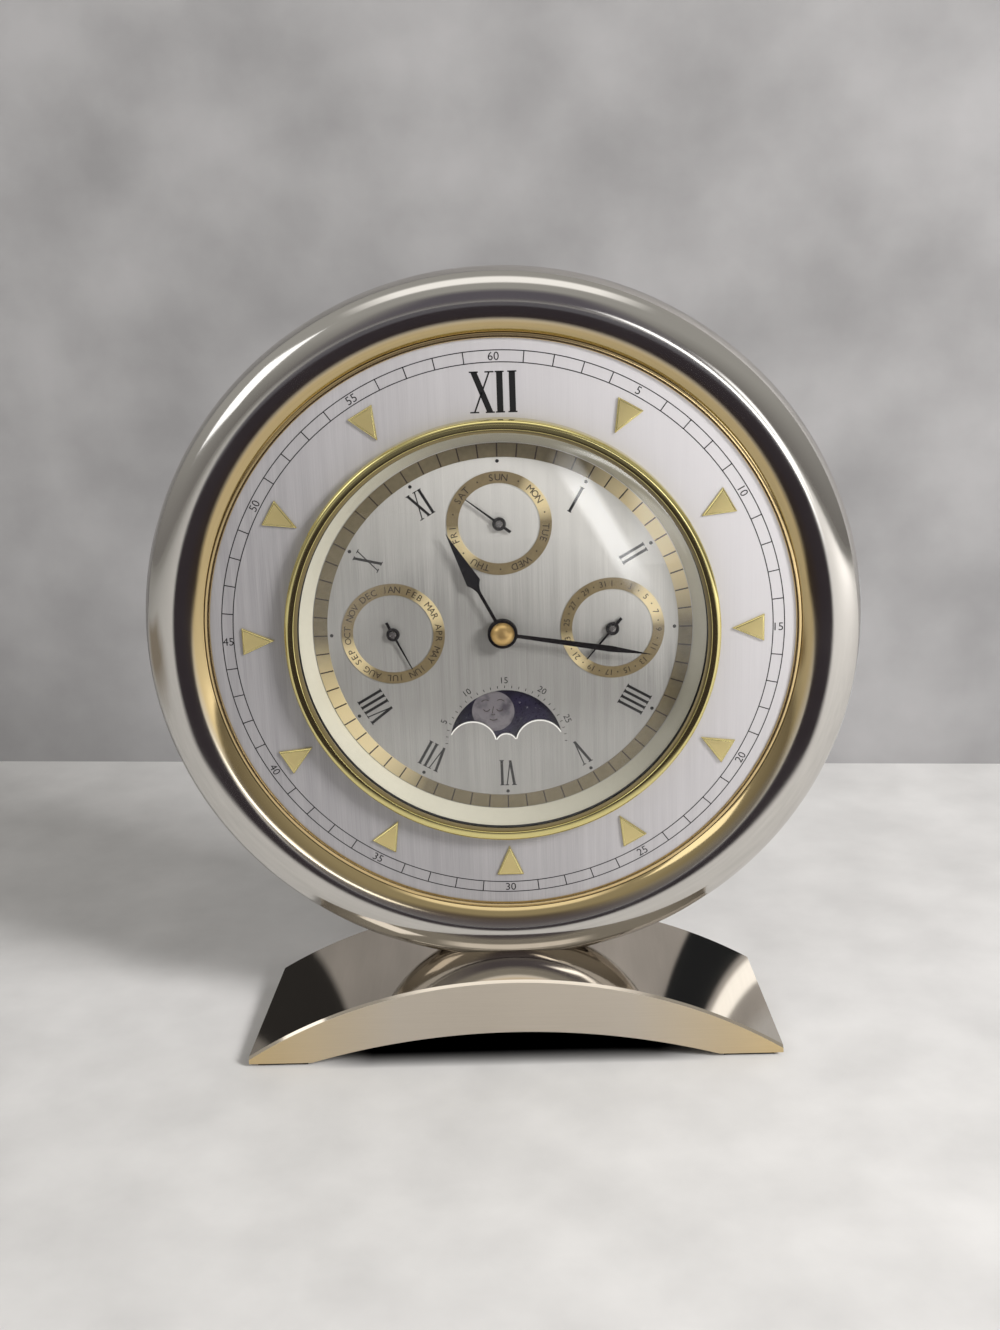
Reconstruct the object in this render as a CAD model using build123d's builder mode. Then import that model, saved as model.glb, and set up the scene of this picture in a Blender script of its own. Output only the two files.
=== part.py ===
from build123d import *

import os
from math import asin, atan2, cos, degrees, hypot, radians, sin, sqrt

# Moon phase desk clock: a polished round case on an arched foot, with an inner clock let into
# its outer dial. Millimetres, +Z up, the clock looks towards -Y, and the origin is under the
# middle of the foot. Depths grow towards the back. Angles on the dial go clockwise from 12,
# as they are read from the front.

# Foot
arch_top = 23.2
arch_gap_height = 8.6
foot_front_width = 137.6
foot_back_width = 130.6
foot_depth = 45.6
foot_middle = -1.6
sole_length = 16.3
tip_height = 1.9
arch_chamfer = 0.8
tip_round = 0.9
pad_thickness = 1.0
pad_margin = 1.2
nest_depth = 3.4
seat_slip = 0.05

# Foot screws
foot_screw_spacing = 18.0
foot_screw_radius = 2.0
foot_screw_head_radius = 3.5
foot_screw_head_height = 3.0
foot_screw_grip = 6.0
foot_screw_seat = 4.0
washer_thickness = 0.6
hex_key_radius = 1.7
hex_key_depth = 1.6
screw_clearance = 0.2

# Case ring
ring_mean_radius = 83.4
ring_tube_radius = 6.0
ring_wall = 1.8
ring_depth = -2.7
ring_back_angle = 60
ring_crest_span = 7.5
ring_lip_span = 7.5
ring_lip_wall = 1.2
ring_lip_ahead = 0.5
ledge_width = 2.9
ledge_thickness = 1.5
lug_half_angle = 15
cover_boss_count = 6
cover_boss_radius = 2.2
cover_boss_offset = 1.4
boss_root = 0.15
small_screw_radius = 1.1
small_screw_head_radius = 2.0
small_screw_head_height = 1.2
small_screw_length = 5.0

# Outer dial and its trim
dial_ahead = 2.8
dial_thickness = 1.0
dial_slip = 0.15
dial_hole_radius = 52.0
trim_width = 1.35
trim_height = 0.7
trim_chamfer = 0.3
marker_edge_gap = 9.25
marker_length = 8.0
marker_width = 7.0
marker_height = 0.8
marker_bevel = 0.3

# Back cover
cover_thickness = 1.2
cover_edge_gap = 0.2
cover_dish_radius = 78.0
cover_dish_back_radius = 74.0
cover_dish_depth = 9.8
cover_corner = 2.0
cover_hole_gap = 0.4

# Inner clock: bezel, gasket, crystal, reflector, cup
bezel_radius = 54.05
bezel_lip_radius = 51.6
bezel_height = 4.1
bezel_wall = 1.3
bezel_lip = 0.6
bezel_round = 1.0
gasket_inner_radius = 50.8
gasket_wall = 0.4
gasket_side = 0.6
crystal_thickness = 1.2
crystal_rise = 3.2
cup_radius = 51.6
cup_wall = 1.0
cup_flange = 1.1
cup_back = 12.0
cup_back_wall = 1.2
cup_ledge = 1.6
retainer_width = 5.0
retainer_thickness = 1.2
reflector_width = 2.85
reflector_wall = 1.2
fit_gap = 0.05

# Inner dial and its rings
centre_dial_setback = 2.9
centre_dial_thickness = 0.5
centre_hole_radius = 3.2
arbor_hole_radius = 1.1
applied_ring_thickness = 0.2
minute_ring_inset = 0.2
minute_ring_width = 3.5
small_ring_radius = 13.0
small_ring_width = 2.9
subdial_distance = 27.5
aperture_radius = 14.4
aperture_bump_radius = 6.2
aperture_bump_offset = 8.6
aperture_hub_radius = 2.8
moon_centre_distance = 30.0

# Calendar work
calendar_space = 1.9
plate_thickness = 1.5
plate_rim = 1.9
wheel_ahead = 0.9
wheel_thickness = 0.6
disc_ahead = 1.6
disc_thickness = 0.3
moon_disc_radius = 15.3
arbor_radius = 0.85
hub_radius = 1.6
running_gap = 0.06
day_star_radius = 8.0
date_wheel_radius = 9.5
month_star_radius = 8.5
moon_wheel_radius = 14.5
moon_hub_radius = 3.0
day_star_teeth = 7
date_wheel_teeth = 31
month_star_teeth = 12
moon_wheel_teeth = 59
leaf_width = 0.7
leaf_length = 8.0
leaf_beak = 1.2
leaf_gap = 0.3
leaf_foot_radius = 1.5

# Small pointers
pointer_length = 10.2
pointer_tail = 3.5
pointer_hub_radius = 1.7
pointer_width = 0.75
pointer_tip_width = 0.25
pointer_thickness = 0.3
pointer_lift = 0.6
pointer_cap = 0.3

# Hands
hub_disc_radius = 3.75
hand_thickness = 0.35
hour_hand_length = 29.0
hour_hand_neck = 12.0
hour_hand_belly = 3.7
hour_hand_belly_at = 14.8
hour_hand_waist = 1.8
minute_hand_length = 37.7
minute_hand_belly = 1.6
minute_hand_belly_at = 27.5
hand_neck_width = 0.85
hour_hand_lift = 1.8
hand_spacing = 0.7
cap_radius = 3.0
cap_height = 1.6
cap_flat_radius = 1.2

# Motion work
motion_module = 0.45
hour_teeth = 40
minute_pinion_teeth = 10
cannon_teeth = 12
minute_wheel_teeth = 36
gear_thickness = 0.8
pinion_length = 1.4
cannon_radius = 1.5
hour_pipe_radius = 2.5
bush_radius = 4.0
bush_length = 2.9
nut_radius = 6.5
nut_thickness = 1.2
motion_clearance = 0.3
minute_post_radius = 0.8
pivot_radius = 0.8
pivot_length = 1.5
bearing_gap = 0.2

# Movement housing
movement_top = 20.0
movement_bottom = 36.0
movement_wall = 1.5
movement_front_depth = 7.0
movement_back_depth = 10.0
movement_corner = 2.0
battery_bay_height = 17.0
bay_wall = 1.5
corner_boss_radius = 2.0
corner_boss_inset = 1.6
opening_gap = 0.5

# Battery and contacts
battery_radius = 7.25
battery_length = 49.3
battery_nub_radius = 2.7
battery_nub_length = 1.2
battery_gap = 0.3
contact_thickness = 0.4
contact_width = 8.0
contact_height = 9.0
contact_gap = 0.25
spring_base_radius = 3.6
spring_tip_radius = 2.4

# Motor and electronics
board_thickness = 1.2
board_gap = 1.7
board_width = 28.0
board_height = 16.0
board_centre_x = -7.0
board_centre_z = 10.0
board_post_radius = 1.4
can_radius = 1.0
can_length = 6.0
stator_width = 26.0
stator_height = 12.0
stator_centre_x = -8.0
stator_centre_z = 10.0
stator_arm = 4.0
stator_thickness = 0.8
stator_ahead = 1.0
rotor_hole_radius = 3.2
rotor_drop = 3.0
coil_radius = 2.6
core_height = 3.0
core_thickness = 0.8
stator_post_radius = 1.4

# Setting knob and buttons
knob_radius = 7.0
knob_height = 4.5
knob_gap = 0.3
knob_flutes = 12
flute_radius = 1.1
setting_arbor_radius = 1.2
button_radius = 2.6
button_height = 3.0
button_travel = 0.8
day_button_distance = 13.6
day_button_angle = 61.6
date_button_distance = 12.4
date_button_angle = 50
month_button_distance = 12.4
month_button_angle = -50
moon_button_distance = 18.4
moon_button_angle = 130.6
button_clearance = 0.3
stem_radius = 1.3
nose_length = 0.9
nose_tip_radius = 0.6

# Reading of the clock at rest
hour_hand_angle = 332.8
minute_hand_angle = 99.6
day_angle = 308
date_angle = 220
month_angle = 154

# Shape shares: proportions of teeth and leaves, each a share of the size that it follows
tooth_root_share = 0.46
tooth_tip_share = 0.2
tooth_add_share = 0.8
tooth_ded_share = 1.1
star_root_share = 0.72
fine_root_share = 0.9
cap_bulge_share = 0.2
cap_shoulder_share = 0.33
arbor_in_knob_share = 0.75
pivot_in_wall_share = 0.6

# Depths and radii that follow from the sizes above
case_radius = ring_mean_radius + ring_tube_radius
axis_height = arch_top - nest_depth + case_radius
ring_crest_radius = case_radius - ring_crest_span
ring_bore = ring_crest_radius - ring_lip_span
ring_inner_wall_radius = ring_tube_radius - ring_wall
dial_radius = ring_bore - dial_slip
marker_outer_radius = dial_radius - marker_edge_gap
dial_front = ring_depth - dial_ahead
dial_back = dial_front + dial_thickness
ledge_back = dial_back + ledge_thickness
ring_lip_rise = dial_ahead + ring_lip_ahead
hollow_lip_span = ring_lip_span - ring_lip_wall
hollow_lip_rise = ring_depth - ledge_back
cover_seat = ring_depth + ring_inner_wall_radius * sin(radians(ring_back_angle))
cover_radius = ring_mean_radius + ring_inner_wall_radius * cos(radians(ring_back_angle)) - cover_edge_gap
cover_back = cover_seat + cover_dish_depth
cover_screw_radius = ring_mean_radius - cover_boss_offset
cover_hole_radius = cup_radius + cover_hole_gap

bezel_front = dial_front - bezel_height
lip_back = bezel_front + bezel_lip
bezel_bore = bezel_radius - bezel_wall
gasket_radius = bezel_bore - fit_gap
crystal_front = lip_back + gasket_wall
crystal_back = crystal_front + crystal_thickness
crystal_radius = gasket_radius - gasket_side - fit_gap
cup_bore = cup_radius - cup_wall

centre_dial_front = dial_front + centre_dial_setback
centre_dial_back = centre_dial_front + centre_dial_thickness
centre_dial_radius = cup_bore - fit_gap
reflector_foot_radius = cup_bore - fit_gap - reflector_width
minute_ring_radius = reflector_foot_radius - minute_ring_inset
plate_front = centre_dial_back + calendar_space
plate_back = plate_front + plate_thickness
wheel_front = plate_front - wheel_ahead
wheel_back = wheel_front + wheel_thickness
disc_front = plate_front - disc_ahead
disc_back = disc_front + disc_thickness
pointer_back = centre_dial_front - pointer_lift

battery_end_room = battery_nub_length + contact_gap + contact_thickness
movement_half_width = battery_length / 2 + battery_end_room + movement_wall
movement_front_face = plate_back
inner_front = movement_front_face + movement_wall
movement_split = movement_front_face + movement_front_depth
movement_back_face = movement_split + movement_back_depth
inner_back = movement_back_face - movement_wall
knob_front = movement_back_face + knob_gap
movement_floor = -movement_bottom + movement_wall
bay_top = movement_floor + battery_bay_height
battery_depth = inner_front + battery_gap + battery_radius
battery_centre_z = movement_floor + battery_bay_height / 2

# Motion work: both pairs stand on the same centre distance
hour_pitch_radius = motion_module * hour_teeth / 2
minute_pinion_pitch_radius = motion_module * minute_pinion_teeth / 2
centre_distance = hour_pitch_radius + minute_pinion_pitch_radius
second_module = 2 * centre_distance / (cannon_teeth + minute_wheel_teeth)
hour_wheel_front = inner_front + motion_clearance
hour_wheel_back = hour_wheel_front + gear_thickness
cannon_pinion_front = hour_wheel_back + motion_clearance + motion_clearance
cannon_pinion_back = cannon_pinion_front + pinion_length
minute_wheel_front = cannon_pinion_front + motion_clearance
minute_wheel_back = minute_wheel_front + gear_thickness
setting_x = centre_distance * 2
pivot_seat = movement_split + motion_clearance

hour_hand_back = centre_dial_front - hour_hand_lift
hour_hand_front = hour_hand_back - hand_thickness
minute_hand_back = hour_hand_front - hand_spacing
minute_hand_front = minute_hand_back - hand_thickness
cap_front = minute_hand_front - cap_height

# The calendar: where each wheel stands
day_place = (0, subdial_distance)
date_place = (subdial_distance, 0)
month_place = (-subdial_distance, 0)
moon_place = (0, -moon_centre_distance)


def lengthwise(start, depth, height):
    """Plane square to the width, for what lies across the movement: start is its X."""
    return Plane(origin=(start, depth, axis_height + height), z_dir=(1, 0, 0))


def facing(depth, place=(0, 0), angle=0):
    """Plane seen from the front at a depth, its +Y pointing at a clock angle."""
    turn = radians(angle)
    origin = (place[0], depth, axis_height + place[1])
    return Plane(origin=origin, x_dir=(cos(turn), 0, -sin(turn)), z_dir=(0, -1, 0))


def section(place=(0, 0), angle=0):
    """Half plane through an arbor for turned profiles: +X is the radius, +Y the depth."""
    turn = radians(angle)
    origin = (place[0], 0, axis_height + place[1])
    return Plane(origin=origin, x_dir=(sin(turn), 0, cos(turn)), z_dir=(-cos(turn), 0, sin(turn)))


def ring_skin(grow, lip_span, lip_rise):
    """Profile line of the case ring and its two ends: round behind, a wide oval in front."""
    half_height = ring_tube_radius + grow
    lip_turn = degrees(asin(lip_rise / half_height))
    lip_radius = lip_span / cos(radians(lip_turn))
    crest = (ring_crest_radius, ring_depth)
    behind = CenterArc((ring_mean_radius, ring_depth), half_height, 0, ring_back_angle)
    EllipticalCenterArc(crest, ring_crest_span + grow, half_height, start_angle=-90, arc_size=90)
    lip_size = lip_turn - 90
    lip = EllipticalCenterArc(crest, lip_radius, half_height, start_angle=-90, arc_size=lip_size)
    return behind @ 1, lip @ 1


def arbor(place=(0, 0)):
    """Axis of an arbor, square to the dial."""
    return Axis((place[0], 0, axis_height + place[1]), (0, 1, 0))


def bearing(start, end):
    """Clock angle of the direction from one place on the dial to another."""
    return degrees(atan2(end[0] - start[0], end[1] - start[1]))


def distance(start, end):
    return hypot(end[0] - start[0], end[1] - start[1])


def clock_point(radius, angle):
    return (radius * sin(radians(angle)), radius * cos(radians(angle)))


def moved(place, radius, angle, along=0):
    """A place on the dial, a radius away at a clock angle and then square to it, clockwise."""
    out = clock_point(radius, angle)
    side = clock_point(along, angle + 90)
    return (place[0] + out[0] + side[0], place[1] + out[1] + side[1])


def wheel_face(teeth, tip_radius, root_radius, phase=0):
    """Toothed outline with a straight-sided tooth centred on the phase angle."""
    pitch = 360 / teeth
    corners = []
    for tooth in range(teeth):
        centre = phase + tooth * pitch
        corners.append(clock_point(root_radius, centre - pitch * tooth_root_share / 2))
        corners.append(clock_point(tip_radius, centre - pitch * tooth_tip_share / 2))
        corners.append(clock_point(tip_radius, centre + pitch * tooth_tip_share / 2))
        corners.append(clock_point(root_radius, centre + pitch * tooth_root_share / 2))
    Polygon(*corners, align=None)


def star_face(teeth, tip_radius, root_radius, phase=0):
    """Pointed teeth, one of them at the phase angle."""
    pitch = 360 / teeth
    corners = []
    for tooth in range(teeth):
        centre = phase + tooth * pitch
        corners.append(clock_point(root_radius, centre - pitch / 2))
        corners.append(clock_point(tip_radius, centre))
    Polygon(*corners, align=None)


def gear_face(teeth, module, phase=0):
    """Wheel of the motion work at a given module."""
    pitch_radius = module * teeth / 2
    tip_radius = pitch_radius + module * tooth_add_share
    root_radius = pitch_radius - module * tooth_ded_share
    wheel_face(teeth, tip_radius, root_radius, phase)


def leaf_face(tip_radius, strip_offset, side):
    """Leaf spring beside a wheel: a beak just off the tips, a strip, and a round foot."""
    near = tip_radius + leaf_gap
    outline = (
        (-side * leaf_beak, strip_offset + leaf_width),
        (-side * leaf_beak, strip_offset),
        (-side * leaf_width / 2, strip_offset),
        (0, near),
        (side * leaf_width / 2, strip_offset),
        (side * leaf_length, strip_offset),
        (side * leaf_length, strip_offset + leaf_width),
    )
    Polygon(*outline, align=None)
    with Locations((side * leaf_length, strip_offset + leaf_width / 2)):
        Circle(leaf_foot_radius)


# Each entry of the calendar: place, tip radius, button place, jumper angle, sides of the
# jumper and of the corrector
day_button_place = moved(day_place, day_button_distance, day_button_angle)
date_button_place = moved(date_place, date_button_distance, date_button_angle)
month_button_place = moved(month_place, month_button_distance, month_button_angle)
moon_button_place = moved(moon_place, moon_button_distance, moon_button_angle)
calendar = {
    "day": (day_place, day_star_radius, day_button_place, 270, 1, 1),
    "date": (date_place, date_wheel_radius, date_button_place, 180, 1, -1),
    "month": (month_place, month_star_radius, month_button_place, 180, -1, 1),
    "moon": (moon_place, moon_wheel_radius, moon_button_place, 250, 1, -1),
}


def jumper_offset(tip_radius):
    return tip_radius + leaf_gap + leaf_beak


def corrector_offset(place, button_place):
    return distance(place, button_place) - stem_radius - leaf_gap - leaf_width


def foot_places(leaf):
    """Where the feet of the jumpers or of the correctors stand on the plate."""
    places = []
    for place, tip_radius, button_place, jumper_angle, jumper_side, corrector_side in calendar.values():
        if leaf == "jumper":
            offset = jumper_offset(tip_radius) + leaf_width / 2
            places.append(moved(place, offset, jumper_angle, jumper_side * leaf_length))
        else:
            offset = corrector_offset(place, button_place) + leaf_width / 2
            angle = bearing(place, button_place)
            places.append(moved(place, offset, angle, corrector_side * leaf_length))
    return places


# Foot: an arch cut from a block, narrower behind, with a saddle for the case ring
foot_front = foot_middle - foot_depth / 2
foot_back = foot_middle + foot_depth / 2
half_front = foot_front_width / 2
half_back = foot_back_width / 2
inner_sole = half_front - sole_length
screw_places = [(-foot_screw_spacing / 2, ring_depth), (foot_screw_spacing / 2, ring_depth)]
washer_seat = arch_gap_height + foot_screw_seat
tip_top = pad_thickness + tip_height
with BuildPart() as base_arch:
    with BuildSketch(Plane.XZ.offset(-foot_back)):
        with BuildLine():
            ThreePointArc((-half_front, tip_top), (0, arch_top), (half_front, tip_top))
            Polyline((half_front, tip_top), (half_front, pad_thickness), (inner_sole, pad_thickness))
            ThreePointArc((inner_sole, pad_thickness), (0, arch_gap_height), (-inner_sole, pad_thickness))
            Polyline((-inner_sole, pad_thickness), (-half_front, pad_thickness), (-half_front, tip_top))
        make_face()
    extrude(amount=foot_depth)
    with BuildSketch(Plane.XY):
        with BuildLine():
            Polyline(
                (-half_front, foot_front),
                (half_front, foot_front),
                (half_back, foot_back),
                (-half_back, foot_back),
                close=True,
            )
        make_face()
    extrude(amount=arch_top, mode=Mode.INTERSECT)
    for front_face in (base_arch.faces().sort_by(Axis.Y)[0], base_arch.faces().sort_by(Axis.Y)[-1]):
        upper_edge = front_face.edges().filter_by(GeomType.CIRCLE).sort_by(Axis.Z)[-1]
        chamfer(upper_edge, arch_chamfer)
    left_tip = base_arch.faces().sort_by(Axis.X)[0].edges().sort_by(Axis.Z)[0]
    fillet(left_tip, tip_round)
    right_tip = base_arch.faces().sort_by(Axis.X)[-1].edges().sort_by(Axis.Z)[0]
    fillet(right_tip, tip_round)
    with BuildSketch(section(angle=180)):
        with BuildLine():
            Line(*ring_skin(seat_slip, ring_lip_span, ring_lip_rise))
        make_face()
    revolve(axis=arbor(), mode=Mode.SUBTRACT)
    with Locations(*[Plane(origin=(x, y, pad_thickness), z_dir=(0, 0, -1)) for x, y in screw_places]):
        CounterBoreHole(
            foot_screw_radius + screw_clearance,
            foot_screw_head_radius + screw_clearance,
            washer_seat - pad_thickness,
        )

pad_front = foot_front + pad_margin
pad_back = foot_back - pad_margin
with BuildPart() as foot_pads:
    with BuildSketch(Plane.XY):
        with BuildLine():
            Polyline(
                (inner_sole + pad_margin, pad_front),
                (half_front - tip_round - pad_margin, pad_front),
                (half_back - tip_round - pad_margin, pad_back),
                (inner_sole + pad_margin, pad_back),
                close=True,
            )
        make_face()
    extrude(amount=pad_thickness)
    mirror(about=Plane.YZ)

head_back = washer_seat - washer_thickness
head_front = head_back - foot_screw_head_height
with BuildPart() as base_washers:
    with BuildSketch(Plane.XY.offset(head_back)):
        with Locations(*screw_places):
            Circle(foot_screw_head_radius)
            Circle(foot_screw_radius + seat_slip, mode=Mode.SUBTRACT)
    extrude(amount=washer_thickness)

ring_bottom = axis_height - case_radius
with BuildPart() as base_screws:
    with BuildSketch(Plane.XY.offset(head_front)):
        with Locations(*screw_places):
            Circle(foot_screw_head_radius)
    extrude(amount=foot_screw_head_height)
    with BuildSketch(Plane.XY.offset(head_back)):
        with Locations(*screw_places):
            Circle(foot_screw_radius)
    extrude(amount=ring_bottom + foot_screw_grip - head_back)
    with BuildSketch(Plane.XY.offset(head_front)):
        with Locations(*screw_places):
            RegularPolygon(hex_key_radius, 6)
    extrude(amount=hex_key_depth, mode=Mode.SUBTRACT)

# Case ring: a shell of round section, open behind, with a ledge for the dial, a solid lug
# over the foot and bosses for the back cover
boss_front = ring_depth - ring_inner_wall_radius - boss_root
with BuildPart() as case_ring:
    with BuildSketch(section(angle=180)):
        with BuildLine():
            skin_end, skin_lip = ring_skin(0, ring_lip_span, ring_lip_rise)
            hollow_end, hollow_lip = ring_skin(-ring_wall, hollow_lip_span, hollow_lip_rise)
            Line(skin_end, hollow_end)
            Polyline(
                hollow_lip,
                (ring_bore - ledge_width, ledge_back),
                (ring_bore - ledge_width, dial_back),
                (ring_bore, dial_back),
                skin_lip,
            )
        make_face()
    revolve(axis=arbor())
    with BuildSketch(section(angle=180 - lug_half_angle)):
        with BuildLine():
            Line(*ring_skin(seat_slip - ring_wall, hollow_lip_span + seat_slip, hollow_lip_rise))
        make_face()
    revolve(axis=arbor(), revolution_arc=2 * lug_half_angle)
    with BuildSketch(facing(cover_seat)):
        with PolarLocations(cover_screw_radius, cover_boss_count, start_angle=0):
            Circle(cover_boss_radius)
    extrude(amount=cover_seat - boss_front)
    with Locations(facing(cover_seat)):
        with PolarLocations(cover_screw_radius, cover_boss_count, start_angle=0):
            Cylinder(
                small_screw_radius,
                2 * (small_screw_length + fit_gap),
                mode=Mode.SUBTRACT,
            )
    with Locations(*[Plane(origin=(x, y, ring_bottom), z_dir=(0, 0, -1)) for x, y in screw_places]):
        Cylinder(foot_screw_radius, 2 * (foot_screw_grip + seat_slip), mode=Mode.SUBTRACT)

# Outer dial with its gold trim and triangular hour markers
with BuildPart() as chapter_dial:
    with BuildSketch(facing(dial_back)):
        Circle(dial_radius)
        Circle(dial_hole_radius, mode=Mode.SUBTRACT)
    extrude(amount=dial_thickness)

trim_inner = dial_radius - trim_width
with BuildPart() as trim_ring:
    with BuildSketch(section()):
        with BuildLine():
            Polyline(
                (trim_inner, dial_front),
                (trim_inner, dial_front - trim_height + trim_chamfer),
                (trim_inner + trim_chamfer, dial_front - trim_height),
                (dial_radius - trim_chamfer, dial_front - trim_height),
                (dial_radius, dial_front - trim_height + trim_chamfer),
                (dial_radius, dial_front),
                close=True,
            )
        make_face()
    revolve(axis=arbor())

with BuildPart() as hour_markers:
    for hour in range(1, 12):
        with BuildSketch(facing(dial_front, angle=hour * 30)):
            with BuildLine():
                Polyline(
                    (-marker_width / 2, marker_outer_radius),
                    (marker_width / 2, marker_outer_radius),
                    (0, marker_outer_radius - marker_length),
                    close=True,
                )
            make_face()
        extrude(amount=marker_height)
    chamfer(hour_markers.faces().group_by(Axis.Y)[0].edges(), marker_bevel)

# Back cover: a pressed dish whose flange is screwed to the ring's bosses
with BuildPart() as back_cover:
    with BuildSketch(section()):
        with BuildLine():
            Polyline(
                (cover_radius, cover_seat),
                (cover_radius, cover_seat + cover_thickness),
                (cover_dish_radius, cover_seat + cover_thickness),
                (cover_dish_back_radius, cover_back),
                (cover_hole_radius, cover_back),
                (cover_hole_radius, cover_back - cover_thickness),
                (cover_dish_back_radius - cover_thickness, cover_back - cover_thickness),
                (cover_dish_radius - cover_thickness, cover_seat),
                close=True,
            )
        make_face()
    revolve(axis=arbor())
    rim = back_cover.edges().filter_by(GeomType.CIRCLE)
    fillet(rim.filter_by(lambda e: abs(e.radius - cover_dish_back_radius) < fit_gap), cover_corner)
    with Locations(facing(cover_seat)):
        with PolarLocations(cover_screw_radius, cover_boss_count, start_angle=0):
            Cylinder(
                small_screw_radius + screw_clearance,
                2 * (cover_thickness + fit_gap),
                mode=Mode.SUBTRACT,
            )

with BuildPart() as cover_screws:
    with BuildSketch(facing(cover_seat + cover_thickness)):
        with PolarLocations(cover_screw_radius, cover_boss_count, start_angle=0):
            Circle(small_screw_radius - seat_slip)
    extrude(amount=small_screw_length + cover_thickness)
    with BuildSketch(facing(cover_seat + cover_thickness + small_screw_head_height)):
        with PolarLocations(cover_screw_radius, cover_boss_count, start_angle=0):
            Circle(small_screw_head_radius)
    extrude(amount=small_screw_head_height)

# Inner clock: bezel, gasket, crystal and pale reflector, carried by a cup
with BuildPart() as insert_bezel:
    with BuildSketch(section()) as bezel_section:
        with BuildLine():
            Polyline(
                (bezel_radius, dial_front),
                (bezel_radius, bezel_front),
                (bezel_lip_radius, bezel_front),
                (bezel_lip_radius, lip_back),
                (bezel_bore, lip_back),
                (bezel_bore, dial_front),
                close=True,
            )
        make_face()
        crest = bezel_section.vertices().group_by(Axis.Y)[0].sort_by(Axis.X)
        fillet(crest[-1], bezel_round)
        fillet(crest[0], bezel_lip / 2)
    revolve(axis=arbor())

with BuildPart() as crystal_gasket:
    with BuildSketch(section()):
        with BuildLine():
            Polyline(
                (gasket_inner_radius, lip_back),
                (gasket_radius, lip_back),
                (gasket_radius, crystal_back),
                (gasket_radius - gasket_side, crystal_back),
                (gasket_radius - gasket_side, crystal_front),
                (gasket_inner_radius, crystal_front),
                close=True,
            )
        make_face()
    revolve(axis=arbor())

dome_radius = gasket_inner_radius - fit_gap


def dome_depth(radius):
    """Depth of the crystal's front at a radius: a shallow sphere that rises at the middle."""
    sphere = (dome_radius**2 + crystal_rise**2) / (2 * crystal_rise)
    return crystal_front + sphere - crystal_rise - sqrt(sphere**2 - radius**2)


with BuildPart() as insert_crystal:
    with BuildSketch(section()):
        with BuildLine():
            apex = (0, crystal_front - crystal_rise)
            ThreePointArc(apex, (dome_radius / 2, dome_depth(dome_radius / 2)), (dome_radius, crystal_front))
            Polyline(
                (dome_radius, crystal_front),
                (crystal_radius, crystal_front),
                (crystal_radius, crystal_back),
                (dome_radius, crystal_back),
            )
            ThreePointArc(
                (dome_radius, crystal_back),
                (dome_radius / 2, dome_depth(dome_radius / 2) + crystal_thickness),
                (0, apex[1] + crystal_thickness),
            )
            Line((0, apex[1] + crystal_thickness), apex)
        make_face()
    revolve(axis=arbor())

movement_window_width = 2 * (movement_half_width + opening_gap)
movement_window_height = movement_top + movement_bottom + 2 * opening_gap
movement_middle_z = (movement_top - movement_bottom) / 2
button_places = [entry[2] for entry in calendar.values()]
with BuildPart() as insert_cup:
    with BuildSketch(section()):
        with BuildLine():
            Polyline(
                (gasket_radius, crystal_back),
                (gasket_radius, crystal_back + cup_flange),
                (cup_radius, crystal_back + cup_flange),
                (cup_radius, cup_back),
                (0, cup_back),
                (0, cup_back - cup_back_wall),
                (cup_bore, cup_back - cup_back_wall),
                (cup_bore, plate_back + cup_ledge),
                (cup_bore - cup_ledge, plate_back + cup_ledge),
                (cup_bore - cup_ledge, plate_back),
                (cup_bore, plate_back),
                (cup_bore, crystal_back),
                close=True,
            )
        make_face()
    revolve(axis=arbor())
    with BuildSketch(facing(cup_back)):
        with Locations((0, movement_middle_z)):
            Rectangle(movement_window_width, movement_window_height)
        with Locations(*button_places):
            Circle(stem_radius + running_gap)
    extrude(amount=cup_back_wall, mode=Mode.SUBTRACT)

with BuildPart() as retaining_ring:
    with BuildSketch(section()):
        with BuildLine():
            retainer_back = dial_back + retainer_thickness
            Polyline(
                (cup_radius + seat_slip, dial_back),
                (cup_radius + retainer_width, dial_back),
                (cup_radius + retainer_width, retainer_back),
                (cup_radius + seat_slip, retainer_back),
                close=True,
            )
        make_face()
    revolve(axis=arbor())

with BuildPart() as reflector_ring:
    with BuildSketch(section()):
        with BuildLine():
            Polyline(
                (cup_bore - fit_gap, crystal_back),
                (cup_bore - fit_gap, crystal_back + reflector_wall),
                (reflector_foot_radius + reflector_wall, centre_dial_front),
                (reflector_foot_radius, centre_dial_front),
                close=True,
            )
        make_face()
    revolve(axis=arbor())

# Inner dial with its moon aperture and applied rings
with BuildPart() as centre_dial:
    with BuildSketch(facing(centre_dial_back)):
        Circle(centre_dial_radius)
        Circle(centre_hole_radius, mode=Mode.SUBTRACT)
        with Locations(day_place, date_place, month_place):
            Circle(arbor_hole_radius, mode=Mode.SUBTRACT)
    extrude(amount=centre_dial_thickness)
    with BuildSketch(facing(centre_dial_back, moon_place)):
        with BuildLine():
            CenterArc((0, 0), aperture_radius, 0, 180)
            Line((-aperture_radius, 0), (aperture_radius, 0))
        make_face()
        with Locations((-aperture_bump_offset, 0), (aperture_bump_offset, 0)):
            Circle(aperture_bump_radius, mode=Mode.SUBTRACT)
        Circle(aperture_hub_radius, mode=Mode.SUBTRACT)
    extrude(amount=centre_dial_thickness, mode=Mode.SUBTRACT)

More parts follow.
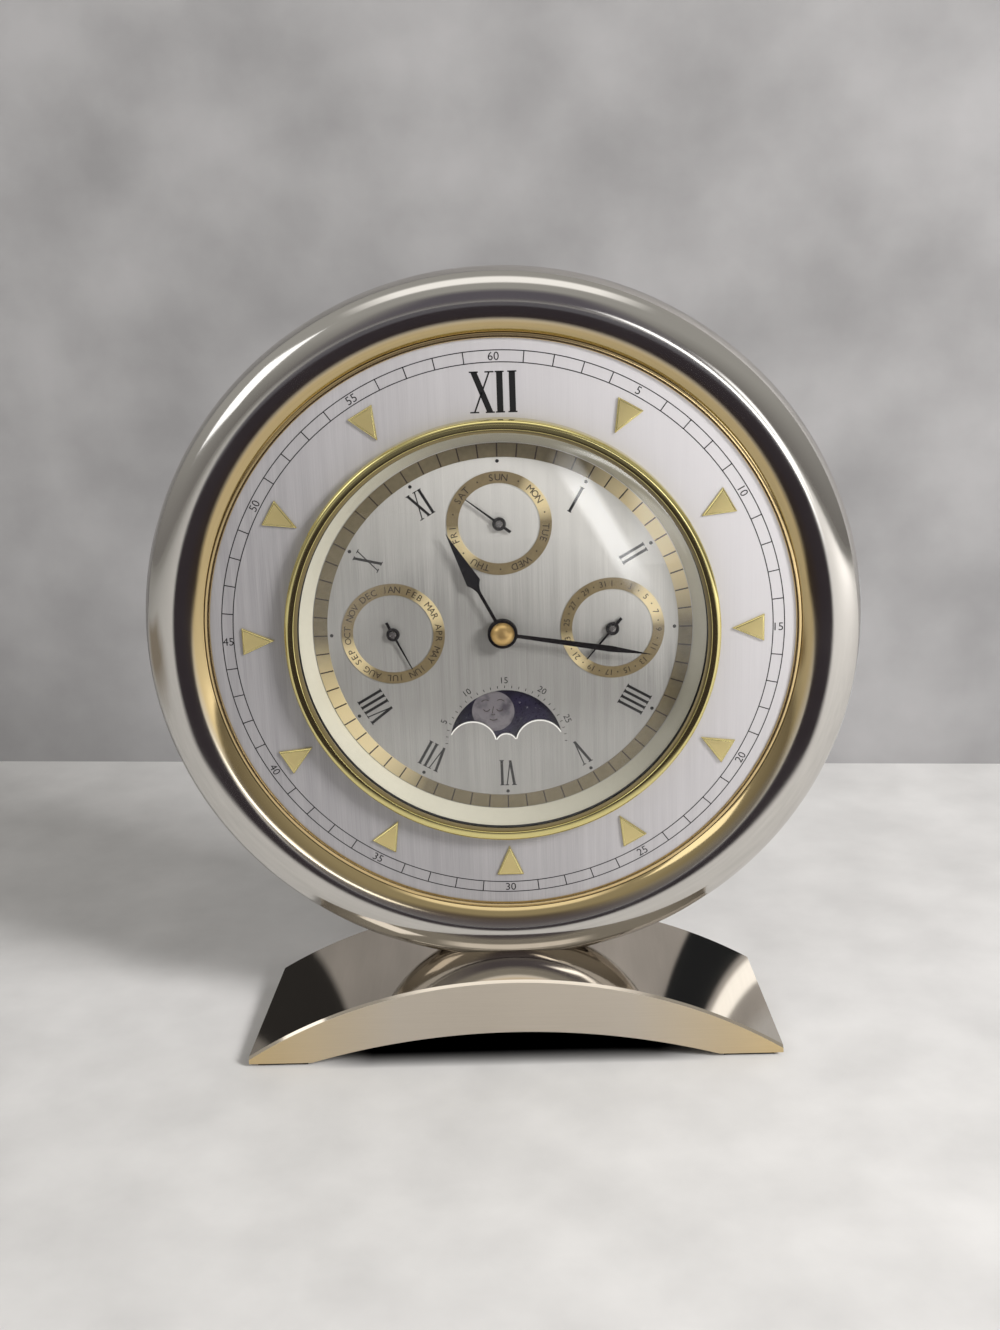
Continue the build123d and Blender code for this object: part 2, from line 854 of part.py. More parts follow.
with BuildPart() as dial_rings:
    with BuildSketch(facing(centre_dial_front)):
        Circle(minute_ring_radius)
        Circle(minute_ring_radius - minute_ring_width, mode=Mode.SUBTRACT)
    extrude(amount=applied_ring_thickness)
    for place in (day_place, date_place, month_place):
        with BuildSketch(facing(centre_dial_front, place)):
            Circle(small_ring_radius)
            Circle(small_ring_radius - small_ring_width, mode=Mode.SUBTRACT)
        extrude(amount=applied_ring_thickness)

# Calendar plate with the leaves that hold and correct its wheels
with BuildPart() as calendar_plate:
    with BuildSketch(facing(plate_back)):
        Circle(centre_dial_radius)
    extrude(amount=plate_thickness)
    with BuildSketch(facing(plate_front)):
        Circle(centre_dial_radius)
        Circle(centre_dial_radius - plate_rim, mode=Mode.SUBTRACT)
    extrude(amount=plate_front - centre_dial_back)
    with BuildSketch(facing(plate_front)):
        with Locations(*foot_places("jumper"), *foot_places("corrector")):
            Circle(leaf_foot_radius)
    extrude(amount=plate_front - wheel_back)
    with BuildSketch(facing(plate_back)):
        Circle(bush_radius + fit_gap)
        with Locations(day_place, date_place, month_place, moon_place):
            Circle(arbor_radius + running_gap)
        with Locations(*button_places):
            Circle(stem_radius + running_gap)
    extrude(amount=plate_thickness, mode=Mode.SUBTRACT)

with BuildPart() as jumper_springs:
    for place, tip_radius, button_place, jumper_angle, jumper_side, corrector_side in calendar.values():
        with BuildSketch(facing(wheel_back, place, jumper_angle)):
            leaf_face(tip_radius, jumper_offset(tip_radius), jumper_side)
        extrude(amount=wheel_thickness)

with BuildPart() as corrector_blades:
    for place, tip_radius, button_place, jumper_angle, jumper_side, corrector_side in calendar.values():
        with BuildSketch(facing(wheel_back, place, bearing(place, button_place))):
            leaf_face(tip_radius, corrector_offset(place, button_place), corrector_side)
        extrude(amount=wheel_thickness)


pointer_front = pointer_back - pointer_thickness - pointer_cap
day_root = day_star_radius * star_root_share
date_root = date_wheel_radius * fine_root_share
month_root = month_star_radius * star_root_share
moon_root = moon_wheel_radius * fine_root_share
wheels = {
    "day_star": (day_place, day_star_teeth, day_star_radius, day_root, day_angle, pointer_front),
    "date_wheel": (date_place, date_wheel_teeth, date_wheel_radius, date_root, date_angle, pointer_front),
    "month_star": (month_place, month_star_teeth, month_star_radius, month_root, month_angle, pointer_front),
    "moon_wheel": (moon_place, moon_wheel_teeth, moon_wheel_radius, moon_root, 0, disc_front),
}
pieces = {}
for name, (place, teeth, tip_radius, root_radius, phase, arbor_front) in wheels.items():
    with BuildPart() as calendar_wheel:
        with BuildSketch(facing(wheel_back, place)):
            star_face(teeth, tip_radius, root_radius, phase)
        extrude(amount=wheel_thickness)
        with BuildSketch(facing(plate_back, place)):
            Circle(arbor_radius)
        extrude(amount=plate_back - arbor_front)
        with BuildSketch(facing(plate_front - running_gap, place)):
            Circle(hub_radius)
        extrude(amount=plate_front - running_gap - wheel_front)
        if name == "moon_wheel":
            with BuildSketch(facing(wheel_front, place)):
                Circle(moon_hub_radius)
            extrude(amount=wheel_front - disc_back)
    pieces[name] = calendar_wheel

with BuildPart() as moon_disc:
    with BuildSketch(facing(disc_back, moon_place)):
        Circle(moon_disc_radius)
        Circle(arbor_radius + seat_slip, mode=Mode.SUBTRACT)
    extrude(amount=disc_thickness)

# Small pointers: a needle with a tail on a round hub
pointers = {
    "day_pointer": (day_place, day_angle),
    "date_pointer": (date_place, date_angle),
    "month_pointer": (month_place, month_angle),
}
for name, (place, angle) in pointers.items():
    with BuildPart() as pointer:
        with BuildSketch(facing(pointer_back, place, angle)):
            with BuildLine():
                Polyline(
                    (-pointer_width / 2, -pointer_tail),
                    (pointer_width / 2, -pointer_tail),
                    (pointer_tip_width / 2, pointer_length),
                    (-pointer_tip_width / 2, pointer_length),
                    close=True,
                )
            make_face()
            Circle(pointer_hub_radius)
            Circle(arbor_radius + seat_slip, mode=Mode.SUBTRACT)
        extrude(amount=pointer_thickness)
    pieces[name] = pointer

# Hands: the hour hand on its pipe, the minute hand and its cap on the cannon
with BuildPart() as hour_hand:
    with BuildSketch(facing(hour_hand_back, angle=hour_hand_angle)):
        with BuildLine():
            neck = hand_neck_width / 2
            waist = hour_hand_waist / 2
            belly = hour_hand_belly / 2
            waist_at = (hour_hand_neck + hour_hand_belly_at) / 2
            Polyline((0, 0), (neck, 0), (neck, hour_hand_neck))
            ThreePointArc((neck, hour_hand_neck), (waist, waist_at), (belly, hour_hand_belly_at))
            Line((belly, hour_hand_belly_at), (0, hour_hand_length))
            mirror(about=Plane.YZ)
        make_face()
        Circle(hub_disc_radius)
        Circle(hour_pipe_radius + seat_slip, mode=Mode.SUBTRACT)
    extrude(amount=hand_thickness)

with BuildPart() as minute_hand:
    with BuildSketch(facing(minute_hand_back, angle=minute_hand_angle)):
        with BuildLine():
            Polyline(
                (hand_neck_width / 2, 0),
                (minute_hand_belly / 2, minute_hand_belly_at),
                (0, minute_hand_length),
                (-minute_hand_belly / 2, minute_hand_belly_at),
                (-hand_neck_width / 2, 0),
                close=True,
            )
        make_face()
        Circle(hub_disc_radius)
        Circle(cannon_radius + seat_slip, mode=Mode.SUBTRACT)
    extrude(amount=hand_thickness)

cap_middle = (cap_radius + cap_flat_radius) / 2
with BuildPart() as hand_cap:
    with BuildSketch(section()):
        with BuildLine():
            Polyline((0, cap_front), (cap_flat_radius, cap_front))
            ThreePointArc(
                (cap_flat_radius, cap_front),
                (cap_middle + cap_height * cap_bulge_share, cap_front + cap_height * cap_shoulder_share),
                (cap_radius, minute_hand_front),
            )
            Polyline(
                (cap_radius, minute_hand_front),
                (cannon_radius + seat_slip, minute_hand_front),
                (cannon_radius + seat_slip, minute_hand_front - cap_height / 2),
                (0, minute_hand_front - cap_height / 2),
                (0, cap_front),
            )
        make_face()
    revolve(axis=arbor())

# Motion work: twelve turns of the cannon give one turn of the hour wheel
mesh_side = 90
with BuildPart() as cannon_pinion:
    with BuildSketch(facing(pivot_seat)):
        Circle(cannon_radius)
    extrude(amount=pivot_seat - minute_hand_front + cap_height / 2)
    with BuildSketch(facing(cannon_pinion_back)):
        gear_face(cannon_teeth, second_module, mesh_side)
    extrude(amount=pinion_length)
    with BuildSketch(facing(pivot_seat + pivot_length)):
        Circle(pivot_radius)
    extrude(amount=pivot_length)

with BuildPart() as hour_wheel:
    with BuildSketch(facing(hour_wheel_back)):
        gear_face(hour_teeth, motion_module, mesh_side)
    extrude(amount=gear_thickness)
    with BuildSketch(facing(hour_wheel_front)):
        Circle(hour_pipe_radius)
    extrude(amount=hour_wheel_front - hour_hand_front)
    with BuildSketch(facing(hour_wheel_back)):
        Circle(cannon_radius + running_gap)
    extrude(amount=hour_wheel_back - hour_hand_front, mode=Mode.SUBTRACT)

minute_place = (centre_distance, 0)
with BuildPart() as minute_wheel:
    with BuildSketch(facing(minute_wheel_back, minute_place)):
        gear_face(minute_wheel_teeth, second_module, -mesh_side + 180 / minute_wheel_teeth)
    extrude(amount=gear_thickness)
    with BuildSketch(facing(minute_wheel_front, minute_place)):
        gear_face(minute_pinion_teeth, motion_module, -mesh_side + 180 / minute_pinion_teeth)
    extrude(amount=minute_wheel_front - hour_wheel_front)
    with BuildSketch(facing(minute_wheel_back, minute_place)):
        Circle(minute_post_radius + running_gap)
    extrude(amount=minute_wheel_back - hour_wheel_front, mode=Mode.SUBTRACT)

setting_place = (setting_x, 0)
setting_back = knob_front + knob_height * arbor_in_knob_share
with BuildPart() as setting_pinion:
    with BuildSketch(facing(setting_back, setting_place)):
        Circle(setting_arbor_radius)
    extrude(amount=setting_back - hour_wheel_front)
    with BuildSketch(facing(cannon_pinion_back, setting_place)):
        gear_face(cannon_teeth, second_module, -mesh_side)
    extrude(amount=pinion_length)
    with BuildSketch(facing(hour_wheel_front, setting_place)):
        Circle(pivot_radius)
    extrude(amount=motion_clearance + movement_wall * pivot_in_wall_share)

with BuildPart() as setting_knob:
    with BuildSketch(facing(knob_front + knob_height, setting_place)):
        Circle(knob_radius)
        with PolarLocations(knob_radius + flute_radius / 2, knob_flutes):
            Circle(flute_radius, mode=Mode.SUBTRACT)
    extrude(amount=knob_height)
    with BuildSketch(facing(setting_back, setting_place)):
        Circle(setting_arbor_radius + seat_slip)
    extrude(amount=setting_back - knob_front, mode=Mode.SUBTRACT)

# Movement housing: two moulded halves, with an open bay for the cell
corner_x = movement_half_width - movement_wall - corner_boss_inset
corner_places = [
    (-corner_x, movement_top - movement_wall - corner_boss_inset),
    (corner_x, movement_top - movement_wall - corner_boss_inset),
    (-corner_x, bay_top + bay_wall + corner_boss_inset),
    (corner_x, bay_top + bay_wall + corner_boss_inset),
]
inner_width = 2 * (movement_half_width - movement_wall)
movement_height = movement_top + movement_bottom
gear_room_bottom = bay_top + bay_wall
gear_room_height = movement_top - movement_wall - gear_room_bottom
gear_room_middle = gear_room_bottom + gear_room_height / 2
stator_arm_x = stator_width / 2 - stator_arm / 2
core_z = stator_centre_z + stator_height / 2 - core_height / 2
stator_post_places = [
    (stator_centre_x - stator_arm_x, core_z),
    (stator_centre_x + stator_arm_x, core_z),
]
stator_front = movement_split + stator_ahead
rotor_place = (stator_centre_x, stator_centre_z - rotor_drop)
board_back = inner_back - board_gap
board_front = board_back - board_thickness
board_post_places = [
    (board_centre_x - board_width / 2 + 3 * board_post_radius, board_centre_z),
    (board_centre_x + board_width / 2 - 3 * board_post_radius, board_centre_z),
]

with BuildPart() as movement_front:
    with BuildSketch(facing(movement_split)):
        with Locations((0, movement_middle_z)):
            RectangleRounded(2 * movement_half_width, movement_height, movement_corner)
    extrude(amount=movement_front_depth)
    with BuildSketch(facing(movement_split)):
        with Locations((0, gear_room_middle)):
            Rectangle(inner_width, gear_room_height)
        with Locations((0, battery_centre_z)):
            Rectangle(inner_width, battery_bay_height)
    extrude(amount=movement_split - inner_front, mode=Mode.SUBTRACT)
    with BuildSketch(facing(movement_front_face)):
        Circle(bush_radius)
    extrude(amount=bush_length)
    with BuildSketch(facing(inner_front)):
        Circle(hour_pipe_radius + running_gap)
    extrude(amount=inner_front - movement_front_face + bush_length, mode=Mode.SUBTRACT)
    with BuildSketch(facing(minute_wheel_back + motion_clearance)):
        with Locations(minute_place):
            Circle(minute_post_radius)
    extrude(amount=minute_wheel_back + motion_clearance - inner_front)
    with BuildSketch(facing(movement_split)):
        with Locations(*corner_places):
            Circle(corner_boss_radius)
    extrude(amount=movement_split - inner_front)
    with BuildSketch(facing(stator_front)):
        with Locations(*stator_post_places):
            Circle(stator_post_radius)
    extrude(amount=stator_front - inner_front)
    with BuildSketch(facing(movement_split)):
        with Locations(*corner_places):
            Circle(small_screw_radius)
    extrude(amount=small_screw_length, mode=Mode.SUBTRACT)
    with BuildSketch(facing(inner_front)):
        with Locations(setting_place):
            Circle(pivot_radius + running_gap)
    extrude(amount=movement_wall, mode=Mode.SUBTRACT)

bearing_front = pivot_seat + bearing_gap
with BuildPart() as movement_rear:
    with BuildSketch(facing(movement_back_face)):
        with Locations((0, movement_middle_z)):
            RectangleRounded(2 * movement_half_width, movement_height, movement_corner)
    extrude(amount=movement_back_depth)
    with BuildSketch(facing(inner_back)):
        with Locations((0, gear_room_middle)):
            Rectangle(inner_width, gear_room_height)
    extrude(amount=inner_back - movement_split, mode=Mode.SUBTRACT)
    with BuildSketch(facing(movement_back_face)):
        with Locations((0, battery_centre_z)):
            Rectangle(inner_width, battery_bay_height)
    extrude(amount=movement_back_depth, mode=Mode.SUBTRACT)
    with BuildSketch(facing(inner_back)):
        with Locations(*corner_places):
            Circle(corner_boss_radius)
    extrude(amount=inner_back - movement_split)
    with BuildSketch(facing(inner_back)):
        with Locations(*board_post_places):
            Circle(board_post_radius)
    extrude(amount=board_gap)
    with BuildSketch(facing(inner_back)):
        Circle(hour_pipe_radius)
    extrude(amount=inner_back - bearing_front)
    with BuildSketch(facing(pivot_seat + pivot_length + fit_gap)):
        Circle(pivot_radius + running_gap)
    extrude(amount=pivot_length, mode=Mode.SUBTRACT)
    with BuildSketch(facing(movement_back_face)):
        with Locations(*corner_places):
            Circle(small_screw_radius + screw_clearance)
    extrude(amount=movement_back_depth, mode=Mode.SUBTRACT)
    with BuildSketch(facing(movement_back_face)):
        with Locations(setting_place):
            Circle(setting_arbor_radius + running_gap)
    extrude(amount=movement_wall, mode=Mode.SUBTRACT)

with BuildPart() as movement_screws:
    with BuildSketch(facing(movement_back_face)):
        with Locations(*corner_places):
            Circle(small_screw_radius - seat_slip)
    extrude(amount=movement_back_depth + small_screw_length - fit_gap)
    with BuildSketch(facing(movement_back_face + small_screw_head_height)):
        with Locations(*corner_places):
            Circle(small_screw_head_radius)
    extrude(amount=small_screw_head_height)

with BuildPart() as fixing_nut:
    with BuildSketch(facing(plate_front)):
        RegularPolygon(nut_radius, 6)
        Circle(bush_radius + seat_slip, mode=Mode.SUBTRACT)
    extrude(amount=nut_thickness)

# Cell and its contacts
with BuildPart() as battery:
    with BuildSketch(lengthwise(-battery_length / 2, battery_depth, battery_centre_z)):
        Circle(battery_radius)
    extrude(amount=battery_length)
    fillet(battery.edges().filter_by(GeomType.CIRCLE), battery_nub_length / 2)
    with BuildSketch(lengthwise(battery_length / 2, battery_depth, battery_centre_z)):
        Circle(battery_nub_radius)
    extrude(amount=battery_nub_length)

contact_x = movement_half_width - movement_wall - contact_thickness / 2
contact_depth = battery_depth + contact_width / 2
spring_root = -contact_x + contact_thickness / 2
spring_end = -battery_length / 2 - contact_gap
with BuildPart() as battery_contacts:
    with BuildSketch(facing(contact_depth)):
        with Locations((-contact_x, battery_centre_z), (contact_x, battery_centre_z)):
            Rectangle(contact_thickness, contact_height)
    extrude(amount=contact_width)
    with BuildSketch(lengthwise(spring_root, battery_depth, battery_centre_z)):
        Circle(spring_base_radius)
    with BuildSketch(lengthwise(spring_end, battery_depth, battery_centre_z)):
        Circle(spring_tip_radius)
    loft()

# Motor and electronics
core_back = stator_front + stator_thickness + core_thickness
with BuildPart() as stator:
    with BuildSketch(facing(stator_front + stator_thickness)):
        with Locations((stator_centre_x, stator_centre_z)):
            Rectangle(stator_width, stator_height)
        with Locations((stator_centre_x, core_z)):
            Rectangle(stator_width - 2 * stator_arm, 2 * core_height, mode=Mode.SUBTRACT)
        with Locations(rotor_place):
            Circle(rotor_hole_radius, mode=Mode.SUBTRACT)
    extrude(amount=stator_thickness)

coil_depth = core_back - core_thickness / 2
coil_length = stator_width - 2 * stator_arm - 2 * opening_gap
with BuildPart() as motor_coil:
    with BuildSketch(lengthwise(stator_centre_x - coil_length / 2, coil_depth, core_z)):
        Circle(coil_radius)
    extrude(amount=coil_length)
    with BuildSketch(facing(core_back)):
        with Locations((stator_centre_x, core_z)):
            Rectangle(stator_width, core_height)
    extrude(amount=core_thickness)

with BuildPart() as circuit_board:
    with BuildSketch(facing(board_back)):
        with Locations((board_centre_x, board_centre_z)):
            Rectangle(board_width, board_height)
        Circle(hour_pipe_radius + opening_gap, mode=Mode.SUBTRACT)
    extrude(amount=board_thickness)

can_start = board_centre_x + board_width / 2 - 3 * can_length / 2
can_height = board_centre_z - board_height / 4
with BuildPart() as quartz_can:
    with BuildSketch(lengthwise(can_start, board_front - can_radius, can_height)):
        Circle(can_radius)
    extrude(amount=can_length)

# Corrector buttons: a cap outside the cup and a stem whose cone pushes a blade aside
button_seat = cup_back + button_travel + button_clearance


for name, entry in calendar.items():
    place = entry[2]
    with BuildPart() as button:
        with BuildSketch(facing(button_seat + button_height, place)):
            Circle(button_radius)
        extrude(amount=button_height)
        with BuildSketch(facing(button_seat, place)):
            Circle(stem_radius)
        extrude(amount=button_seat - plate_front)
        with BuildSketch(section(place)):
            with BuildLine():
                Polyline(
                    (0, plate_front),
                    (stem_radius, plate_front),
                    (nose_tip_radius, plate_front - nose_length),
                    (0, plate_front - nose_length),
                    close=True,
                )
            make_face()
        revolve(axis=arbor(place))
    pieces[f"{name}_button"] = button

pieces |= {
    "base_arch": base_arch,
    "foot_pads": foot_pads,
    "base_washers": base_washers,
    "base_screws": base_screws,
    "case_ring": case_ring,
    "chapter_dial": chapter_dial,
    "trim_ring": trim_ring,
    "hour_markers": hour_markers,
    "back_cover": back_cover,
    "cover_screws": cover_screws,
    "insert_bezel": insert_bezel,
    "crystal_gasket": crystal_gasket,
    "insert_crystal": insert_crystal,
    "insert_cup": insert_cup,
    "retaining_ring": retaining_ring,
    "reflector_ring": reflector_ring,
    "centre_dial": centre_dial,
    "dial_rings": dial_rings,
    "calendar_plate": calendar_plate,
    "jumper_springs": jumper_springs,
    "corrector_blades": corrector_blades,
    "moon_disc": moon_disc,
    "hour_hand": hour_hand,
    "minute_hand": minute_hand,
    "hand_cap": hand_cap,
    "cannon_pinion": cannon_pinion,
    "hour_wheel": hour_wheel,
    "minute_wheel": minute_wheel,
    "setting_pinion": setting_pinion,
    "setting_knob": setting_knob,
    "movement_front": movement_front,
    "movement_rear": movement_rear,
    "movement_screws": movement_screws,
    "fixing_nut": fixing_nut,
    "battery": battery,
    "battery_contacts": battery_contacts,
    "stator": stator,
    "motor_coil": motor_coil,
    "circuit_board": circuit_board,
    "quartz_can": quartz_can,
}
os.makedirs("parts", exist_ok=True)
for name, piece in pieces.items():
    piece.part.label = name
    export_step(piece.part, f"parts/{name}.step")
print(len(pieces), "pieces written")
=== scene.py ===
# %% [markdown]
# # Moon phase desk clock
# A polished round case stands on an arched foot. Its outer dial is read across a room, and a
# small clock let into the middle tells the time, the day, the date, the month and the moon.
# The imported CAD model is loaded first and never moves, so each piece made here goes where the
# frame says, in metres, with +Z up and the dial looking towards -Y.

# %% Load the frame
import random
from math import asin, atan2, cos, degrees, pi, radians, sin, sqrt

import bmesh
import bpy
from mathutils import Matrix, Vector


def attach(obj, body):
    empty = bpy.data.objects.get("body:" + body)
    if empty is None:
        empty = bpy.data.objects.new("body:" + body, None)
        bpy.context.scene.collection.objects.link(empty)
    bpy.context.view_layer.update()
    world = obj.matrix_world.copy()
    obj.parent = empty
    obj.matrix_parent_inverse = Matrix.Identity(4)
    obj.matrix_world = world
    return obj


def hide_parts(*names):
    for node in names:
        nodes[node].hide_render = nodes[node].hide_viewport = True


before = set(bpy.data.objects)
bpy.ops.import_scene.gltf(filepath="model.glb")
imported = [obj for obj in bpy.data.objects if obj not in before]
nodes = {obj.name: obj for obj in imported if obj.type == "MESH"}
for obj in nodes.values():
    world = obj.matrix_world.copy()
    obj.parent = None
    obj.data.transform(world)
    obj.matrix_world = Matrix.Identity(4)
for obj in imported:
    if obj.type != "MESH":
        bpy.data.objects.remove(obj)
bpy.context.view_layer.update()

# %% [markdown]
# Sizes are written in millimetres, as the clock's maker would, and turned into metres in one
# place. Two helpers find places on the dial: `face_matrix` lays a flat drawing on the dial,
# turned to a clock angle, and `clock_point` gives a place by radius and clock angle.

# %% Places on the dial
MM = 0.001
WELD = 0.002 * MM
AXIS_HEIGHT = 109.2
DIAL_FACE = -5.5
CENTRE_FACE = -2.6
APPLIED_FACE = -2.8
INK_LIFT = 0.02
DAY_PLACE = (0, 27.5)
DATE_PLACE = (27.5, 0)
MONTH_PLACE = (-27.5, 0)
MOON_PLACE = (0, -30)


def clock_point(radius, angle, place=(0, 0)):
    """A place on the dial, in millimetres, at a radius and a clock angle."""
    turn = radians(angle)
    return (place[0] + radius * sin(turn), place[1] + radius * cos(turn))


def face_matrix(depth, place=(0, 0), angle=0):
    """Lays the XY plane on the dial, its Y pointing at a clock angle, millimetres to metres."""
    origin = Vector((place[0], depth, AXIS_HEIGHT + place[1])) * MM
    turn = Matrix.Rotation(radians(angle), 4, "Y")
    upright = Matrix.Rotation(radians(90), 4, "X")
    return Matrix.Translation(origin) @ turn @ upright @ Matrix.Scale(MM, 4)


def add_object(name, data):
    """A new object in the scene."""
    made = bpy.data.objects.new(name, data)
    bpy.context.scene.collection.objects.link(made)
    return made


def finished_mesh(made):
    """An object's mesh with its modifiers, or its letters, worked out."""
    bpy.context.view_layer.update()
    ready = made.evaluated_get(bpy.context.evaluated_depsgraph_get())
    return bpy.data.meshes.new_from_object(ready)


# %% [markdown]
# Materials are graphs of nodes. Long graphs are easier to read as sums, so one small class
# wraps a socket and turns `+`, `*` and comparisons into Math nodes. Everything else goes
# through one method, `node`, which sets the node's options first and its inputs after.

# %% Sums on sockets
class Wire:
    """An output socket that can be added, multiplied and compared."""

    def __init__(self, finish, socket):
        self.finish = finish
        self.socket = socket

    def sum(self, operation, other, flipped=False):
        pair = (other, self) if flipped else (self, other)
        return self.finish.node("ShaderNodeMath", {"operation": operation}, *pair)

    def __add__(self, other):
        return self.sum("ADD", other)

    def __sub__(self, other):
        return self.sum("SUBTRACT", other)

    def __rsub__(self, other):
        return self.sum("SUBTRACT", other, flipped=True)

    def __mul__(self, other):
        return self.sum("MULTIPLY", other)

    def __gt__(self, other):
        return self.sum("GREATER_THAN", other)

    def __lt__(self, other):
        return self.sum("LESS_THAN", other)

    __radd__ = __add__


class Finish:
    """A material built from nodes around one Principled shader."""

    made = {}

    def __init__(self, name, **constants):
        self.material = bpy.data.materials.new(name)
        self.material.use_nodes = True
        self.tree = self.material.node_tree
        self.shader = self.tree.nodes["Principled BSDF"]
        Finish.made[name] = self
        self.set(**constants)

    def node(self, kind, settings, *inputs, output=0, **named):
        """A new node, given its options, its inputs and the output that is wanted."""
        made = self.tree.nodes.new(kind)
        for name, value in settings.items():
            setattr(made, name, value)
        for key, value in [*enumerate(inputs), *named.items()]:
            self.feed(made.inputs[key], value)
        return Wire(self, made.outputs[output])

    def feed(self, socket, value):
        """Links a wire to a socket, or writes a value or a colour into it."""
        if isinstance(value, Wire):
            self.tree.links.new(value.socket, socket)
        elif hasattr(value, "__len__") and socket.type == "RGBA":
            socket.default_value = (*value, 1)[:4]
        else:
            socket.default_value = value

    def set(self, **values):
        """Sets or links the shader's inputs: base_color stands for Base Color."""
        for name, value in values.items():
            title = name.replace("_", " ").title().replace("Ior", "IOR")
            self.feed(self.shader.inputs[title], value)

    def place(self, scale=(1, 1, 1), location=(0, 0, 0), rotation=(0, 0, 0)):
        """Object coordinates, moved, turned and scaled on the way to a pattern."""
        where = self.node("ShaderNodeTexCoord", {}, output="Object")
        named = {"Location": location, "Rotation": rotation, "Scale": scale}
        return self.node("ShaderNodeMapping", {}, where, **named)

    def noise(self, scale, detail=3.0, vector=None, roughness=0.5):
        """Cloudy noise from 0 to 1, its scale in lumps per metre."""
        named = {"Scale": scale, "Detail": detail, "Roughness": roughness}
        return self.node("ShaderNodeTexNoise", {}, vector or self.place(), **named)

    def spread(self, value, low, high, new_low=0.0, new_high=1.0):
        """Stretches a range of values to another one, held at its ends."""
        return self.node("ShaderNodeMapRange", {}, value, low, high, new_low, new_high)

    def mix(self, factor, first, second):
        """A colour between two colours."""
        mixer = self.node("ShaderNodeMix", {"data_type": "RGBA"}, Factor=factor).socket.node
        colours = [socket for socket in mixer.inputs if socket.type == "RGBA"]
        self.feed(colours[0], first)
        self.feed(colours[1], second)
        return Wire(self, next(socket for socket in mixer.outputs if socket.type == "RGBA"))

    def axis(self, vector, letter):
        """One part of a vector."""
        return self.node("ShaderNodeSeparateXYZ", {}, vector, output=letter)

    def from_arbor(self, place=(0, 0)):
        """Object coordinates measured from an arbor, without depth."""
        offset = (-place[0] * MM, 0, -(AXIS_HEIGHT + place[1]) * MM)
        return self.place(scale=(1, 0, 1), location=offset)

    def reach(self, vector):
        """The length of a vector."""
        return self.node("ShaderNodeVectorMath", {"operation": "LENGTH"}, vector, output="Value")

    def along(self, vector, direction):
        """How far a vector goes along a direction."""
        settings = {"operation": "DOT_PRODUCT"}
        return self.node("ShaderNodeVectorMath", settings, vector, direction, output="Value")

    def bump(self, height, strength, distance):
        """A normal that follows a height, its distance in metres."""
        named = {"Height": height, "Strength": strength, "Distance": distance}
        return self.node("ShaderNodeBump", {}, **named)


def tone(red, green, blue):
    """A colour as a screen shows it, 0 to 255, turned into the linear one that shaders use."""
    parts = []
    for part in (red, green, blue):
        share = part / 255
        parts.append(share / 12.92 if share <= 0.04045 else ((share + 0.055) / 1.055) ** 2.4)
    return tuple(parts)


def shaded(colour, share):
    """A colour made darker or lighter, held at white."""
    return tuple(min(1.0, part * share) for part in colour)


print("a mid grey of 128 is", round(tone(128, 128, 128)[0], 3), "to a shader")

# %% [markdown]
# ## Plated metal
# The case, the bezel and the foot are brass with a thin bright plate. A mirror with one even
# roughness looks like a computer's, so a slow noise moves the gloss and the tint a little, as
# polishing and handling do, and a very shallow ripple bends the reflections. The case's plate
# turns from silver to gold where it falls to the dial, and the foot's flat sides are satin.

# %% Plated finishes
DULL_SHARE = 0.94
SPOTS_PER_METRE = 55
RIPPLES_PER_METRE = 160
SILVER_ENDS = 79.0 * MM
GOLD_STARTS = 76.5 * MM


def plate_spots(finish, colour):
    """Slow spots in a plate, and the plate's colour as it follows them."""
    cloud = finish.noise(SPOTS_PER_METRE, 4)
    return cloud, finish.mix(cloud, shaded(colour, DULL_SHARE), colour)


def plate_ripple(finish):
    """The shallow ripple that bends a plate's reflections."""
    return finish.bump(finish.noise(RIPPLES_PER_METRE, 2), 0.03, 0.00004)


def plated(name, colour, gloss):
    """Polished plate: the gloss wanders from its value by about a third."""
    finish = Finish(name, metallic=1.0)
    cloud, tint = plate_spots(finish, colour)
    finish.set(
        base_color=tint,
        roughness=finish.spread(cloud, 0.3, 0.7, gloss, gloss * 1.35),
        normal=plate_ripple(finish),
    )
    return finish.material


# The foot: satin on its two flat sides, mirror bright on the arch.
foot = Finish("foot_metal", metallic=1.0)
side = foot.axis(foot.node("ShaderNodeNewGeometry", {}, output="Normal"), "Y")
satin = side.sum("ABSOLUTE", 0) > 0.9
width = foot.axis(foot.place(), "X").sum("ABSOLUTE", 0)
warm = foot.spread(width, 0.03, 0.07) * (satin * 0.8 + 0.1)
grain = foot.noise(1.0, 5, foot.place(scale=(60, 60, 5200)), 0.6)
shade = foot.mix(warm, tone(211, 202, 189), tone(230, 204, 150))
foot.set(
    base_color=foot.mix(grain * 0.16, shade, tone(120, 105, 80)),
    roughness=foot.spread(satin * (0.75 + grain * 0.5), 0, 1, 0.06, 0.34),
    normal=foot.bump(grain * satin, 0.12, 0.00003),
)
foot_metal = foot.material

